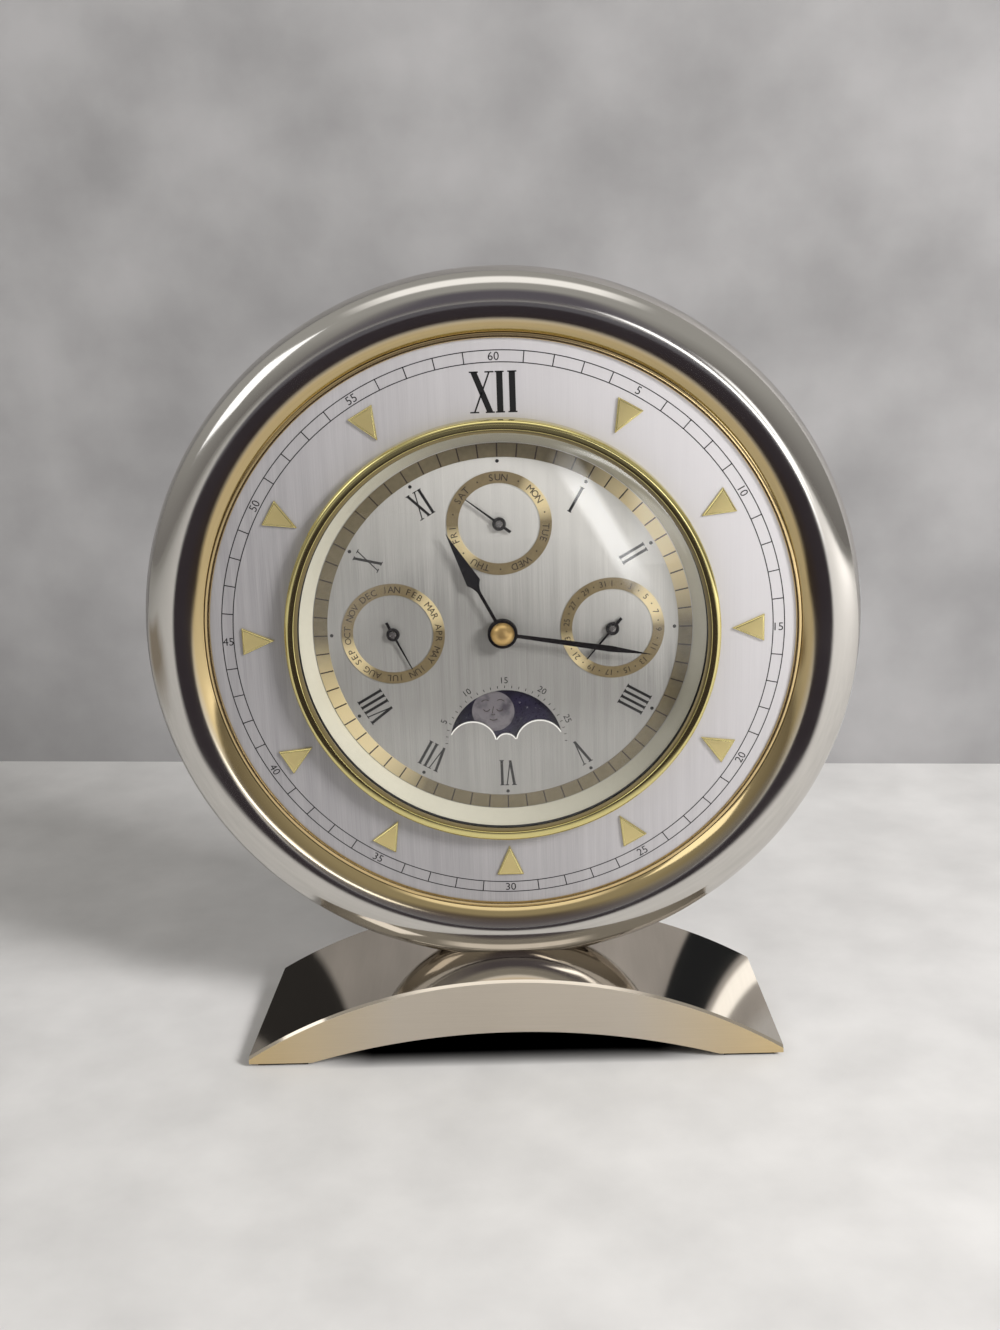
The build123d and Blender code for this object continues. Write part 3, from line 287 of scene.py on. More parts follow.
# The case ring: silver that turns to gold where it falls to the dial.
case = Finish("case_plate", metallic=1.0)
cloud, silver = plate_spots(case, tone(208, 205, 200))
gold_share = case.spread(case.reach(case.from_arbor()), SILVER_ENDS, GOLD_STARTS)
case.set(
    base_color=case.mix(gold_share, silver, tone(194, 174, 130)),
    roughness=case.spread(cloud, 0.3, 0.7, 0.08, 0.12),
    normal=plate_ripple(case),
)
case_plate = case.material
bezel_gold = plated("bezel_gold", tone(228, 216, 150), 0.07)
trim_gold = plated("trim_gold", tone(226, 200, 148), 0.14)
marker_gold = plated("marker_gold", tone(242, 225, 164), 0.42)
cap_gold = plated("cap_gold", tone(232, 196, 132), 0.3)
print("plated finishes:", len(Finish.made))

# %% [markdown]
# ## Brushed dials
# Both dials are silvered and brushed up and down. Stretched noise makes such grain: it is
# squeezed hard across the strokes and hardly at all along them. The same noise drives the
# colour, the gloss and a bump, so the three agree with each other, and a broad painted sheen
# in the colour makes each dial brighter on the lamp's side. The rings on the inner dial were
# turned on a lathe, and the two bright sectors such rings throw are painted into their colour.

# %% Brushed finishes
LAMP_SIDE = (0.85, 0, 0.53)
NEARLY_UP = (0.4, 0, 0.92)
MINUTE_RING_INNER = 43.8 * MM
SMALL_RING_OUTER = 13.4 * MM


def brushed(name, light, dark, gloss, lean, dim, lit, gain):
    """Silvered metal with fine upright strokes, and a sheen towards one side painted into its
    colour.
    """
    finish = Finish(name, metallic=0.45)
    strokes = finish.noise(1.0, 6, finish.place(scale=(7000, 1, 45)), 0.7)
    broad = finish.noise(1.0, 3, finish.place(scale=(420, 1, 9)), 0.6)
    grain = strokes * 0.65 + broad * 0.35
    tint = finish.mix(finish.spread(grain, 0.36, 0.64), dark, light)
    # The broad sheen is a painted highlight: the colour brightens along the lean, towards the lamp.
    slant = finish.along(finish.from_arbor(), lean) + (grain - 0.5) * 0.03
    painted_sheen = finish.spread(slant, dim, lit)
    finish.set(
        base_color=finish.mix(painted_sheen, tint, shaded(light, gain)),
        roughness=finish.spread(grain, 0.3, 0.7, gloss, gloss + 0.12),
        normal=finish.bump(grain, 0.16, 0.00003),
    )
    return finish.material


# The rings: the light that fine grooves throw into two opposite sectors is painted into the colour.
rings = Finish("track_bronze", metallic=0.55)
on_track = rings.reach(rings.from_arbor()) > MINUTE_RING_INNER
painted_sheen = 0
for place in ((0, 0), DAY_PLACE, DATE_PLACE, MONTH_PLACE):
    spoke = rings.from_arbor(place)
    inside = on_track if place == (0, 0) else rings.reach(spoke) < SMALL_RING_OUTER
    ray = rings.node("ShaderNodeVectorMath", {"operation": "NORMALIZE"}, spoke)
    facing = rings.along(ray, LAMP_SIDE).sum("ABSOLUTE", 0)
    painted_sheen = painted_sheen + rings.spread(facing, 0.86, 0.99) * inside
fine = rings.noise(900, 4)
track = rings.mix(fine, tone(110, 101, 78), tone(138, 127, 100))
small = rings.mix(fine, tone(132, 118, 88), tone(156, 140, 106))
rings.set(
    # In the painted sectors the colour turns to a bright painted highlight.
    base_color=rings.mix(painted_sheen, rings.mix(on_track, small, track), tone(255, 236, 186)),
    roughness=rings.spread(fine, 0.3, 0.7, 0.3, 0.4),
)
track_bronze = rings.material
dial_silver = brushed(
    "dial_silver", tone(180, 178, 180), tone(156, 154, 157), 0.36, LAMP_SIDE, -0.045, 0.075, 1.66
)
centre_silver = brushed(
    "centre_silver", tone(178, 177, 173), tone(152, 151, 148), 0.33, NEARLY_UP, 0.0, 0.042, 1.85
)
print("brushed finishes made")

# %% [markdown]
# ## Mouldings, rubber, felt and small metal
# A moulding is not one flat colour: it has a fine grain from its mould and a wandering gloss.
# One function makes them all, with the colour, the gloss and the size of the grain as values.

# %% Plain finishes
def grained(name, colour, gloss, grain=2600.0, strength=0.12, metal=0.0, vary=0.12):
    """Moulded, painted or cast stuff with a fine grain."""
    finish = Finish(name, metallic=metal)
    fine = finish.noise(grain, 3)
    slow = finish.noise(70, 3)
    dark, light = shaded(colour, 1 - vary), shaded(colour, 1 + vary)
    finish.set(
        base_color=finish.mix(slow * 0.6 + fine * 0.4, dark, light),
        roughness=finish.spread(slow, 0.3, 0.7, gloss, gloss * 1.2),
        normal=finish.bump(fine, strength, 0.00005),
    )
    return finish.material


reflector_cream = grained("reflector_cream", tone(184, 181, 165), 0.32, 900, 0.04)
seal_rubber = grained("seal_rubber", tone(112, 100, 68), 0.3)
hand_paint = grained("hand_paint", tone(24, 23, 24), 0.18, 1800, 0.03)
black_moulding = grained("black_moulding", tone(38, 38, 40), 0.42)
white_moulding = grained("white_moulding", tone(225, 222, 212), 0.38)
cover_paint = grained("cover_paint", tone(150, 146, 138), 0.42, 1900, 0.22)
felt = grained("felt", tone(36, 35, 34), 0.95, 5200, 0.5)
steel = grained("steel", tone(190, 190, 190), 0.28, 2200, 0.05, 1.0, 0.05)
spring_steel = grained("spring_steel", tone(205, 203, 198), 0.2, 2200, 0.03, 1.0, 0.04)
wheel_brass = grained("wheel_brass", tone(214, 182, 112), 0.26, 1500, 0.04, 1.0, 0.06)
board_green = grained("board_green", tone(34, 92, 58), 0.35, 1400, 0.1)
ink_black = grained("ink_black", tone(14, 13, 15), 0.4, 3000, 0.02)
# A white for the painted highlight on the moon window's bevel.
rim_highlight_white = grained("rim_highlight_white", tone(244, 242, 238), 0.3, 3000, 0.02)
ink_brown = grained("ink_brown", tone(44, 32, 20), 0.45, 3000, 0.02)

# Enamelled wire: fine turns laid across the coil's core.
copper = Finish("coil_copper", metallic=1.0, roughness=0.25)
turns = (copper.axis(copper.place(), "X") * 5600).sum("SINE", 0) * 0.5 + 0.5
copper.set(
    base_color=copper.mix(turns, tone(120, 58, 26), tone(214, 128, 70)),
    normal=copper.bump(turns, 0.5, 0.00008),
)
print("all finishes so far:", len(Finish.made))

# %% [markdown]
# ## Crystal
# The domed crystal must let the lamps through to the dial and still catch a reflection. Real
# glass shaders hold back direct light, so the crystal is a faint mirror instead: an Alpha of a
# few hundredths keeps that share as reflection and lets the rest of the light straight on.

# %% Crystal and moon sky
# A faint mirror, smeared a little.
glass = Finish("crystal_glass", metallic=1.0, alpha=0.035, base_color=(1, 1, 1))
glass.set(roughness=glass.spread(glass.noise(24, 4), 0.45, 0.8, 0.012, 0.06))

# The printed sky: deep blue that turns to violet in places.
sky = Finish("sky_print", metallic=0.15)
cloud, speckle = sky.noise(190, 4), sky.noise(2600, 2)
violet = sky.spread(cloud + speckle * 0.2, 0.4, 0.75)
sky.set(
    base_color=sky.mix(violet, tone(13, 12, 27), tone(34, 29, 54)),
    roughness=sky.spread(speckle, 0.3, 0.7, 0.26, 0.4),
)

# The printed moons: pale, with soft grey seas.
moon = Finish("moon_print", metallic=0.25)
seas = moon.noise(330, 4)
moon.set(
    base_color=moon.mix(moon.spread(seas, 0.42, 0.66), tone(122, 118, 122), tone(78, 74, 82)),
    roughness=moon.spread(seas, 0.3, 0.7, 0.34, 0.46),
)
print("finishes:", ", ".join(sorted(Finish.made)))

# %% [markdown]
# ## Pieces that are turned on a lathe
# The case, its trim, the bezel, the crystal and the reflector are all round. Blender's spin
# makes such a piece from its profile, which is drawn here as radius and depth. A full spin
# merges its last step with its first, and the normals are made to point outwards after that.

# %% From profile to piece
def arc(centre, radius, start, sweep, steps=24):
    """Points of a profile along an arc. Angles run from outwards towards the back."""
    points = []
    for step in range(steps + 1):
        turn = radians(start + sweep * step / steps)
        points.append((centre[0] + radius * cos(turn), centre[1] + radius * sin(turn)))
    return points


def arc_radius(half, rise):
    """The radius of an arc of which half the width and the rise are known."""
    return (half**2 + rise**2) / (2 * rise)


def turned(profile, place=(0, 0), steps=180):
    """Spins a profile round an arbor. One that starts and ends on the arbor stays open there."""
    shape = bmesh.new()
    centre = Vector((place[0], 0, AXIS_HEIGHT + place[1])) * MM
    corners = [shape.verts.new(centre + Vector((0, d, r)) * MM) for r, d in profile]
    pairs = list(zip(corners, corners[1:]))
    if profile[0][0] or profile[-1][0]:
        pairs.append((corners[-1], corners[0]))
    edges = [shape.edges.new(pair) for pair in pairs]
    bmesh.ops.spin(
        shape, geom=corners + edges, cent=centre, axis=(0, 1, 0), angle=2 * pi,
        steps=steps, use_merge=True,
    )
    bmesh.ops.remove_doubles(shape, verts=shape.verts, dist=WELD)
    bmesh.ops.recalc_face_normals(shape, faces=shape.faces)
    return shape


def piece(shape, name, material, body="case", replaces=(), sharp=32):
    """Makes a bmesh an object that rides on a body, smooth but for its sharp edges."""
    mesh = bpy.data.meshes.new(name)
    shape.to_mesh(mesh)
    shape.free()
    mesh.materials.append(material)
    mesh.shade_smooth()
    mesh.set_sharp_from_angle(angle=radians(sharp))
    made = add_object(name, mesh)
    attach(made, body)
    if replaces:
        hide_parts(*replaces)
    print(f"{name}: {len(mesh.polygons)} faces")
    return made


def turned_piece(profile, steps, name, material, node):
    """A round piece on the dial's axis, in place of a CAD node."""
    return piece(turned(profile, steps=steps), name, material, replaces=[node])


# %% [markdown]
# The case ring is a hollow tube, open behind. In front its section is a wide oval that falls
# smoothly to a lip round the dial, and behind it is round. A ledge inside carries the dial.
# The spin has many steps, because a mirror shows every facet.

# %% Case ring and trim
RING_BACK = (83.4, -2.7)
RING_CREST = (81.9, -2.7)
RING_DEEP = 6.0
CREST_SPAN = 7.5
LIP_SPAN = 7.5
LIP_RISE = 3.3
RING_WALL = 1.8
HOLLOW_LIP_SPAN = 6.3
HOLLOW_LIP_RISE = 0.3


def oval(centre, wide, deep, start, end, steps):
    """Points of a profile along part of an oval."""
    turns = [radians(start + (end - start) * step / steps) for step in range(steps + 1)]
    return [(centre[0] + wide * cos(turn), centre[1] + deep * sin(turn)) for turn in turns]


def ring_skin(grow, lip_span, lip_rise):
    """The case ring's skin from its back edge to its lip, moved outwards by a little."""
    deep = RING_DEEP + grow
    lip_turn = asin(lip_rise / deep)
    return [
        *arc(RING_BACK, deep, 60, -60, 14)[:-1],
        *oval(RING_CREST, CREST_SPAN + grow, deep, 0, -90, 34)[:-1],
        *oval(RING_CREST, lip_span / cos(lip_turn), deep, -90, degrees(lip_turn) - 180, 30),
    ]


ring_profile = [
    *ring_skin(0, LIP_SPAN, LIP_RISE),
    (74.4, -4.5),
    (71.5, -4.5),
    (71.5, -3.0),
    *ring_skin(-RING_WALL, HOLLOW_LIP_SPAN, HOLLOW_LIP_RISE)[::-1],
]
turned_piece(ring_profile, 300, "case_skin", case_plate, "case_ring")

trim_profile = [
    (72.9, -5.5), (72.9, -5.9), (73.05, -6.12), (73.3, -6.2), (73.9, -6.2), (74.13, -6.12),
    (74.25, -5.9), (74.25, -5.5),
]
turned_piece(trim_profile, 240, "gold_trim", trim_gold, "trim_ring")

# %% [markdown]
# The bezel of the small clock has a rounded crest that falls to a narrow lip, and a black seal
# shows inside it round the edge of the crystal. Behind the crystal a pale cone leads the eye
# down to the dial.

# %% Bezel, seal, crystal and reflector
bezel_profile = [
    (54.05, -5.5),
    *arc((53.05, -8.6), 1.0, 0, -90, 14),
    *arc((51.9, -9.3), 0.3, -90, -90, 6),
    (51.6, -9.0),
    (52.75, -9.0),
    (52.75, -5.5),
]
turned_piece(bezel_profile, 240, "bezel", bezel_gold, "insert_bezel")

seal_profile = [
    (50.8, -9.0), (52.7, -9.0), (52.7, -7.4), (52.1, -7.4), (52.1, -8.6), (50.8, -8.6),
]
turned_piece(seal_profile, 200, "seal", seal_rubber, "crystal_gasket")

DOME_EDGE = 50.75
DOME_RISE = 3.2
CRYSTAL_WALL = 1.2
RIM_FRONT = -8.6
RIM_BACK = -7.4
dome_sphere = arc_radius(DOME_EDGE, DOME_RISE)
dome_half = degrees(atan2(DOME_EDGE, dome_sphere - DOME_RISE))
dome_centre = (0, RIM_FRONT + dome_sphere - DOME_RISE)
crystal_profile = [
    *arc(dome_centre, dome_sphere, -90, dome_half, 30),
    (52.05, RIM_FRONT),
    (52.05, RIM_BACK),
    *arc(dome_centre, dome_sphere - CRYSTAL_WALL, -90 + dome_half, -dome_half, 30),
]
turned_piece(crystal_profile, 200, "crystal", glass.material, "insert_crystal")

reflector_profile = [(50.55, -7.4), (50.55, -6.2), (48.9, -2.6), (47.7, -2.6)]
turned_piece(reflector_profile, 200, "reflector", reflector_cream, "reflector_ring")

# %% [markdown]
# ## Arched foot
# The foot is a flat-sided arch, sawn from a block and polished on top. Its outline is drawn as
# two arcs, extruded to the depth of the foot and then trimmed by two slanting cuts, because
# the foot is a little narrower behind. The long upper edges get a bright flat chamfer. The case
# sits in a shallow saddle, which is cut with the ring's own skin, and two wells take the screws.

# %% Foot
FOOT_DEPTH = 45.6
FOOT_FACE = -24.4
FOOT_FRONT = 68.8
FOOT_BACK = 65.3
TIP_TOP = 2.9
ARCH_TOP = 23.2
GAP_TOP = 8.6
GAP_HALF = 52.5
SOLE = 1.0
FOOT_CHAMFER = 0.6
SADDLE_ROOM = 0.05
WELL_SIDE = 9
WELL_RADIUS = 3.7
WELL_DEPTH = 12.6


def rise_arc(half, low, high, steps):
    """An arc over the foot's middle, from left to right, through two heights."""
    radius = arc_radius(half, high - low)
    reach = atan2(half, radius - (high - low))
    turns = [reach * (2 * step / steps - 1) for step in range(steps + 1)]
    return [(radius * sin(turn), high - radius + radius * cos(turn)) for turn in turns]


def on_upper_edge(vert):
    """Whether a corner lies on the arch's top, at the front or the back of the foot."""
    x, y, z = vert.co / MM
    radius = arc_radius(FOOT_FRONT, ARCH_TOP - TIP_TOP)
    arch = ARCH_TOP - radius + sqrt(radius**2 - x**2)
    from_middle = abs(y - FOOT_FACE - FOOT_DEPTH / 2)
    return abs(from_middle - FOOT_DEPTH / 2) < 0.01 and z > arch - 0.05


outline = rise_arc(FOOT_FRONT, TIP_TOP, ARCH_TOP, 120)
outline.append((FOOT_FRONT, SOLE))
outline += rise_arc(GAP_HALF, SOLE, GAP_TOP, 90)[::-1]
outline.append((-FOOT_FRONT, SOLE))
foot = bmesh.new()
corners = [foot.verts.new((x * MM, FOOT_FACE * MM, z * MM)) for x, z in outline]
front_face = foot.faces.new(corners)
grown = bmesh.ops.extrude_face_region(foot, geom=[front_face])["geom"]
behind = [part for part in grown if isinstance(part, bmesh.types.BMVert)]
bmesh.ops.translate(foot, verts=behind, vec=(0, FOOT_DEPTH * MM, 0))
lean = atan2(FOOT_FRONT - FOOT_BACK, FOOT_DEPTH)
for side in (1, -1):
    trimmed = bmesh.ops.bisect_plane(
        foot, geom=foot.verts[:] + foot.edges[:] + foot.faces[:], dist=0.0001 * MM,
        clear_outer=True, plane_co=Vector((side * FOOT_FRONT, FOOT_FACE, 0)) * MM,
        plane_no=(side * cos(lean), sin(lean), 0),
    )
    rim = [part for part in trimmed["geom_cut"] if isinstance(part, bmesh.types.BMEdge)]
    bmesh.ops.contextual_create(foot, geom=rim)
bmesh.ops.remove_doubles(foot, verts=foot.verts, dist=WELD)
bmesh.ops.recalc_face_normals(foot, faces=foot.faces)
upper = [
    edge for edge in foot.edges
    if all(on_upper_edge(vert) for vert in edge.verts)
    and abs(edge.verts[0].co.y - edge.verts[1].co.y) < 0.01 * MM
]
bmesh.ops.bevel(
    foot, geom=upper, offset=FOOT_CHAMFER * MM, offset_type="OFFSET", segments=1, profile=0.5,
    affect="EDGES", material=-1, clamp_overlap=True,
)
print("upper edges chamfered:", len(upper))
FOOT_SHARP = 20
foot_piece = piece(
    foot, "arched_foot", foot_metal, replaces=["base_arch"], sharp=FOOT_SHARP
)


def carve(target, cutter_shape):
    """Cuts one shape out of a piece and keeps the result as the piece's own mesh."""
    cutter_mesh = bpy.data.meshes.new("cutter")
    cutter_shape.to_mesh(cutter_mesh)
    cutter_shape.free()
    cutter = add_object("cutter", cutter_mesh)
    boolean = target.modifiers.new("cut", "BOOLEAN")
    boolean.operation = "DIFFERENCE"
    boolean.solver = "EXACT"
    boolean.object = cutter
    result = finished_mesh(target)
    target.modifiers.clear()
    target.data = result
    result.shade_smooth()
    result.set_sharp_from_angle(angle=radians(FOOT_SHARP))
    bpy.data.objects.remove(cutter)
    print(f"{target.name}: {len(result.polygons)} faces after the cut")


carve(foot_piece, turned(ring_skin(SADDLE_ROOM, LIP_SPAN, LIP_RISE), steps=240))
wells = bmesh.new()
for side in (-WELL_SIDE, WELL_SIDE):
    bmesh.ops.create_cone(
        wells, cap_ends=True, segments=40, radius1=WELL_RADIUS * MM, radius2=WELL_RADIUS * MM,
        depth=WELL_DEPTH * MM,
        matrix=Matrix.Translation(Vector((side, RING_BACK[1], WELL_DEPTH / 2)) * MM),
    )
carve(foot_piece, wells)

# %% [markdown]
# ## Pieces that keep their CAD shape
# Flat and hidden pieces are right as they came, and only need a finish. Others need rounded
# edges: a welded copy of the CAD mesh gets a narrow bevel, so that its edges catch the light
# as real ones do.

# %% Kept and copied CAD pieces
def keep(material, *names):
    """Gives CAD nodes a finish and leaves their shape alone."""
    for name in names:
        mesh = nodes[name].data
        if not mesh.materials:
            mesh.materials.append(material)
        for index in range(len(mesh.materials)):
            mesh.materials[index] = material


def rounded(node, name, material, body, edge=0.1, segments=2, sharp=32, edge_finish=None):
    """A welded copy of a CAD node with rounded edges, which replaces it."""
    shape = bmesh.new()
    shape.from_mesh(nodes[node].data)
    bmesh.ops.remove_doubles(shape, verts=shape.verts, dist=WELD)
    bmesh.ops.dissolve_limit(
        shape, angle_limit=radians(0.5), verts=shape.verts, edges=shape.edges, delimit=set()
    )
    bmesh.ops.recalc_face_normals(shape, faces=shape.faces)
    made = piece(shape, name, material, body, [node], sharp)
    if edge:
        bevel = made.modifiers.new("edges", "BEVEL")
        bevel.width = edge * MM
        bevel.segments = segments
        bevel.limit_method = "ANGLE"
        bevel.angle_limit = radians(sharp)
        bevel.harden_normals = True
        if edge_finish:
            made.data.materials.append(edge_finish)
            bevel.material = 1
    return made


keep(felt, "foot_pads")
keep(steel, "base_washers", "retaining_ring", "cannon_pinion", "setting_pinion")
keep(steel, "stator", "quartz_can")
keep(spring_steel, "jumper_springs", "corrector_blades")
keep(black_moulding, "insert_cup")
keep(white_moulding, "calendar_plate")
keep(wheel_brass, "hour_wheel", "minute_wheel", "fixing_nut")
keep(board_green, "circuit_board")
keep(copper.material, "motor_coil")
keep(dial_silver, "chapter_dial")
keep(sky.material, "moon_disc")
rounded("base_screws", "foot_screws", steel, "case", 0.2)
rounded("movement_front", "movement_shell_front", black_moulding, "case", 0.3)
rounded("movement_rear", "movement_shell_rear", black_moulding, "case", 0.3)
rounded("setting_knob", "knob", black_moulding, "setting", 0.3)
rounded("hour_hand", "hour_hand_black", hand_paint, "hour", 0.1)
rounded("minute_hand", "minute_hand_black", hand_paint, "minute", 0.1)
for part in ("day", "date", "month"):
    rounded(f"{part}_pointer", f"{part}_needle", hand_paint, part, 0.06)

# %% [markdown]
# The hour markers are small satin triangles with bevelled sides, stuck on the dial. A copy of
# the CAD solids gets one more narrow bevel in a brighter gold, which draws a line of light.

# %% Hour markers and applied rings
rounded(
    "hour_markers", "gold_markers", marker_gold, "case", 0.14,
    edge_finish=bezel_gold,
)
keep(track_bronze, "dial_rings")
keep(centre_silver, "centre_dial")

# %% [markdown]
# ## Back of the clock
# The back is a pressed and painted dish, with the black movement in its middle. Its shape is
# not in the picture, so it follows what such clocks usually have.

# %% Back cover, cell and contacts
cover_profile = [
    (85.3, 0.94), (85.3, 2.14), (78.0, 2.14), *arc((72.6, 8.85), 1.9, 18, 72, 8),
    (52.0, 10.74), (52.0, 9.54), (72.5, 9.4), (76.8, 0.94),
]
turned_piece(cover_profile, 220, "cover", cover_paint, "back_cover")
rounded("cover_screws", "cover_screw_set", steel, "case", 0.15)
rounded("movement_screws", "movement_screw_set", steel, "case", 0.3)


# The cell's printed sleeve: black, with a copper end towards the plus pole.
COPPER_STARTS = 13.5 * MM
SLEEVE_ENDS = 24.1 * MM
sleeve = Finish("cell_print", metallic=0.6)
along = sleeve.axis(sleeve.place(), "X")
fine = sleeve.noise(1500, 3)
bands = sleeve.mix(along > COPPER_STARTS, tone(34, 33, 36), tone(196, 134, 74))
ends = (along > SLEEVE_ENDS) + (along < -SLEEVE_ENDS)
printed = sleeve.mix(fine * 0.2, bands, tone(90, 80, 70))
sleeve.set(
    base_color=sleeve.mix(ends, printed, tone(196, 194, 188)),
    roughness=sleeve.spread(fine, 0.3, 0.7, 0.22, 0.32),
)
rounded("battery", "cell", sleeve.material, "battery", 0)

contacts = bmesh.new()
BAY_DEPTH = 10.35
BAY_MIDDLE = AXIS_HEIGHT - 26.0
PLATE_SIZE = (0.4, 8.0, 9.0, 1)
COIL_STEPS = 90
COIL_TURNS = 2.5
COIL_LENGTH = 0.75
for side in (-1, 1):
    plate = Matrix.Translation(Vector((side * 26.3, BAY_DEPTH, BAY_MIDDLE)) * MM)
    bmesh.ops.create_cube(contacts, size=MM, matrix=plate @ Matrix.Diagonal(PLATE_SIZE))
wire_start = Matrix.Translation(Vector((-25.95, BAY_DEPTH, BAY_MIDDLE + 3.1)) * MM)
wire = bmesh.ops.create_circle(
    contacts, cap_ends=True, segments=8, radius=0.25 * MM,
    matrix=wire_start @ Matrix.Rotation(radians(90), 4, "X"),
)["verts"]
wire_edges = {edge for vert in wire for edge in vert.link_edges}
wire_faces = {face for vert in wire for face in vert.link_faces}
bmesh.ops.spin(
    contacts, geom=[*wire, *wire_edges, *wire_faces], axis=(1, 0, 0),
    angle=2 * pi * COIL_TURNS, steps=COIL_STEPS, dvec=(COIL_LENGTH * MM / COIL_STEPS, 0, 0),
    cent=Vector((0, BAY_DEPTH, BAY_MIDDLE)) * MM,
)
bmesh.ops.recalc_face_normals(contacts, faces=contacts.faces)
piece(contacts, "cell_contacts", spring_steel, replaces=["battery_contacts"])

# %% [markdown]
# ## Buttons, pins and cap
# The four correctors are black caps on stems. Each small pointer is held on its arbor by a
# bright pin, and a domed gold cap closes the middle of the hands.

# %% Buttons, pins and cap
BUTTONS = {
    "day": (11.96, 33.97), "date": (37.0, 7.97), "month": (-37.0, 7.97), "moon": (13.97, -41.97),
}
button_profile = [
    (0, 1.4), (0.6, 1.4), (1.3, 2.3), (1.3, 13.1), (2.6, 13.1), *arc((2.2, 15.7), 0.4, 0, 90, 6),
    (1.4, 16.1), (1.1, 15.9), (0, 15.8),
]
for name, place in BUTTONS.items():
    piece(
        turned(button_profile, place, 40), f"{name}_corrector", black_moulding, f"{name}_button",
        [f"{name}_button"],
    )
cap_profile = [
    (0, -7.4), (1.0, -7.38), (1.7, -7.2), (2.3, -6.85), (2.75, -6.4), (3.0, -5.86), (2.95, -5.8),
    (1.55, -5.8), (1.55, -6.6), (0, -6.6),
]
piece(
    turned(cap_profile, steps=96), "gold_cap", cap_gold, "minute", ["hand_cap"],
    sharp=40,
)

# Brass wheels on arbors whose front ends are bright steel pins.
PIN_STARTS = -2.4 * MM
brass = Finish("pinned_brass", metallic=1.0)
on_pin = brass.axis(brass.place(), "Y") < PIN_STARTS
brass.set(
    base_color=brass.mix(on_pin, tone(214, 182, 112), tone(216, 214, 210)),
    roughness=brass.spread(brass.noise(1500, 3), 0.3, 0.7, 0.2, 0.28),
)
WHEELS = {"day": "day_star", "date": "date_wheel", "month": "month_star", "moon": "moon_wheel"}
for part, wheel in WHEELS.items():
    rounded(wheel, f"{wheel}_cut", brass.material, part, 0.08, 1)
HUBS = {"day": DAY_PLACE, "date": DATE_PLACE, "month": MONTH_PLACE}
hub_profile = [
    (0.93, -3.49), (0.95, -3.62), (1.1, -3.74), (1.32, -3.78), (1.52, -3.73), (1.66, -3.6),
    (1.68, -3.49),
]
for part, place in HUBS.items():
    piece(turned(hub_profile, place, 48), f"{part}_hub", hand_paint, part, sharp=60)

# %% [markdown]
# ## Printing
# Everything printed lies a hair above its dial. Lines are single faces, rings are spun, and
# letters come from Blender's own font, made into meshes once and then stamped wherever they
# are needed. The numerals are drawn with thick and thin strokes and small serifs, as engraved
# numerals are.

# %% Tools for printing
glyphs = {}


class Print:
    """Ink on one dial, built up mark by mark."""

    def __init__(self, depth):
        self.depth = depth - INK_LIFT
        self.shape = bmesh.new()

    def stroke(self, matrix, start, end, width):
        """A straight stroke between two points of a small drawing."""
        start, end = Vector(start), Vector(end)
        run = end - start
        middle = (start + end) / 2
        lies_flat = abs(run.y) < abs(run.x) * 0.2
        across, up = ((run.x, run.y), (0, width)) if lies_flat else ((width, 0), (run.x, run.y))
        grow = Matrix((
            (across[0], up[0], 0, middle.x),
            (across[1], up[1], 0, middle.y),
            (0, 0, 1, 0),
            (0, 0, 0, 1),
        ))
        bmesh.ops.create_grid(
            self.shape, x_segments=1, y_segments=1, size=0.5, matrix=matrix @ grow
        )

    def ray(self, angle, inner, outer, width, place=(0, 0)):
        """A line that points at an arbor."""
        self.stroke(face_matrix(self.depth, place, angle), (0, inner), (0, outer), width)

    def dot(self, angle, radius, size, place=(0, 0), segments=20):
        """A filled circle at a radius and a clock angle."""
        where = clock_point(radius, angle, place)
        bmesh.ops.create_circle(
            self.shape, cap_ends=True, segments=segments, radius=size,
            matrix=face_matrix(self.depth, where, angle),
        )

    def ring(self, radius, width, place=(0, 0), start=0.0, sweep=360.0, steps=180):
        """A circle or an arc of a given line width."""
        matrix = face_matrix(self.depth, place, start)
        reaches = (radius - width / 2, radius + width / 2)
        ends = [self.shape.verts.new(matrix @ Vector((0, reach, 0))) for reach in reaches]
        edge = self.shape.edges.new(ends)
        bmesh.ops.spin(
            self.shape, geom=[*ends, edge], cent=face_matrix(self.depth, place).translation,
            axis=(0, 1, 0), angle=radians(sweep), steps=steps, use_merge=sweep >= 360,
        )

    def write(self, text, angle, radius, height, place=(0, 0), turn=None):
        """A word or number, middle at a radius and angle, its top outwards unless turned."""
        where = clock_point(radius, angle, place)
        matrix = face_matrix(self.depth, where, angle if turn is None else turn)
        stamp = glyph(text).copy()
        stamp.transform(matrix @ Matrix.Diagonal((height, height, 1, 1)))
        self.shape.from_mesh(stamp)
        bpy.data.meshes.remove(stamp)

    def around(self, text, angle, radius, height, step, place=(0, 0)):
        """A word whose letters follow a circle."""
        first = angle - step * (len(text) - 1) / 2
        for index, letter in enumerate(text):
            self.write(letter, first + index * step, radius, height, place)

    def done(self, name, material, body="case"):
        """Turns every mark to face the reader and makes the print a piece."""
        bmesh.ops.remove_doubles(self.shape, verts=self.shape.verts, dist=0.0005 * MM)
        for face in self.shape.faces:
            face.normal_update()
            if face.normal.y > 0:
                face.normal_flip()
        return piece(self.shape, name, material, body)


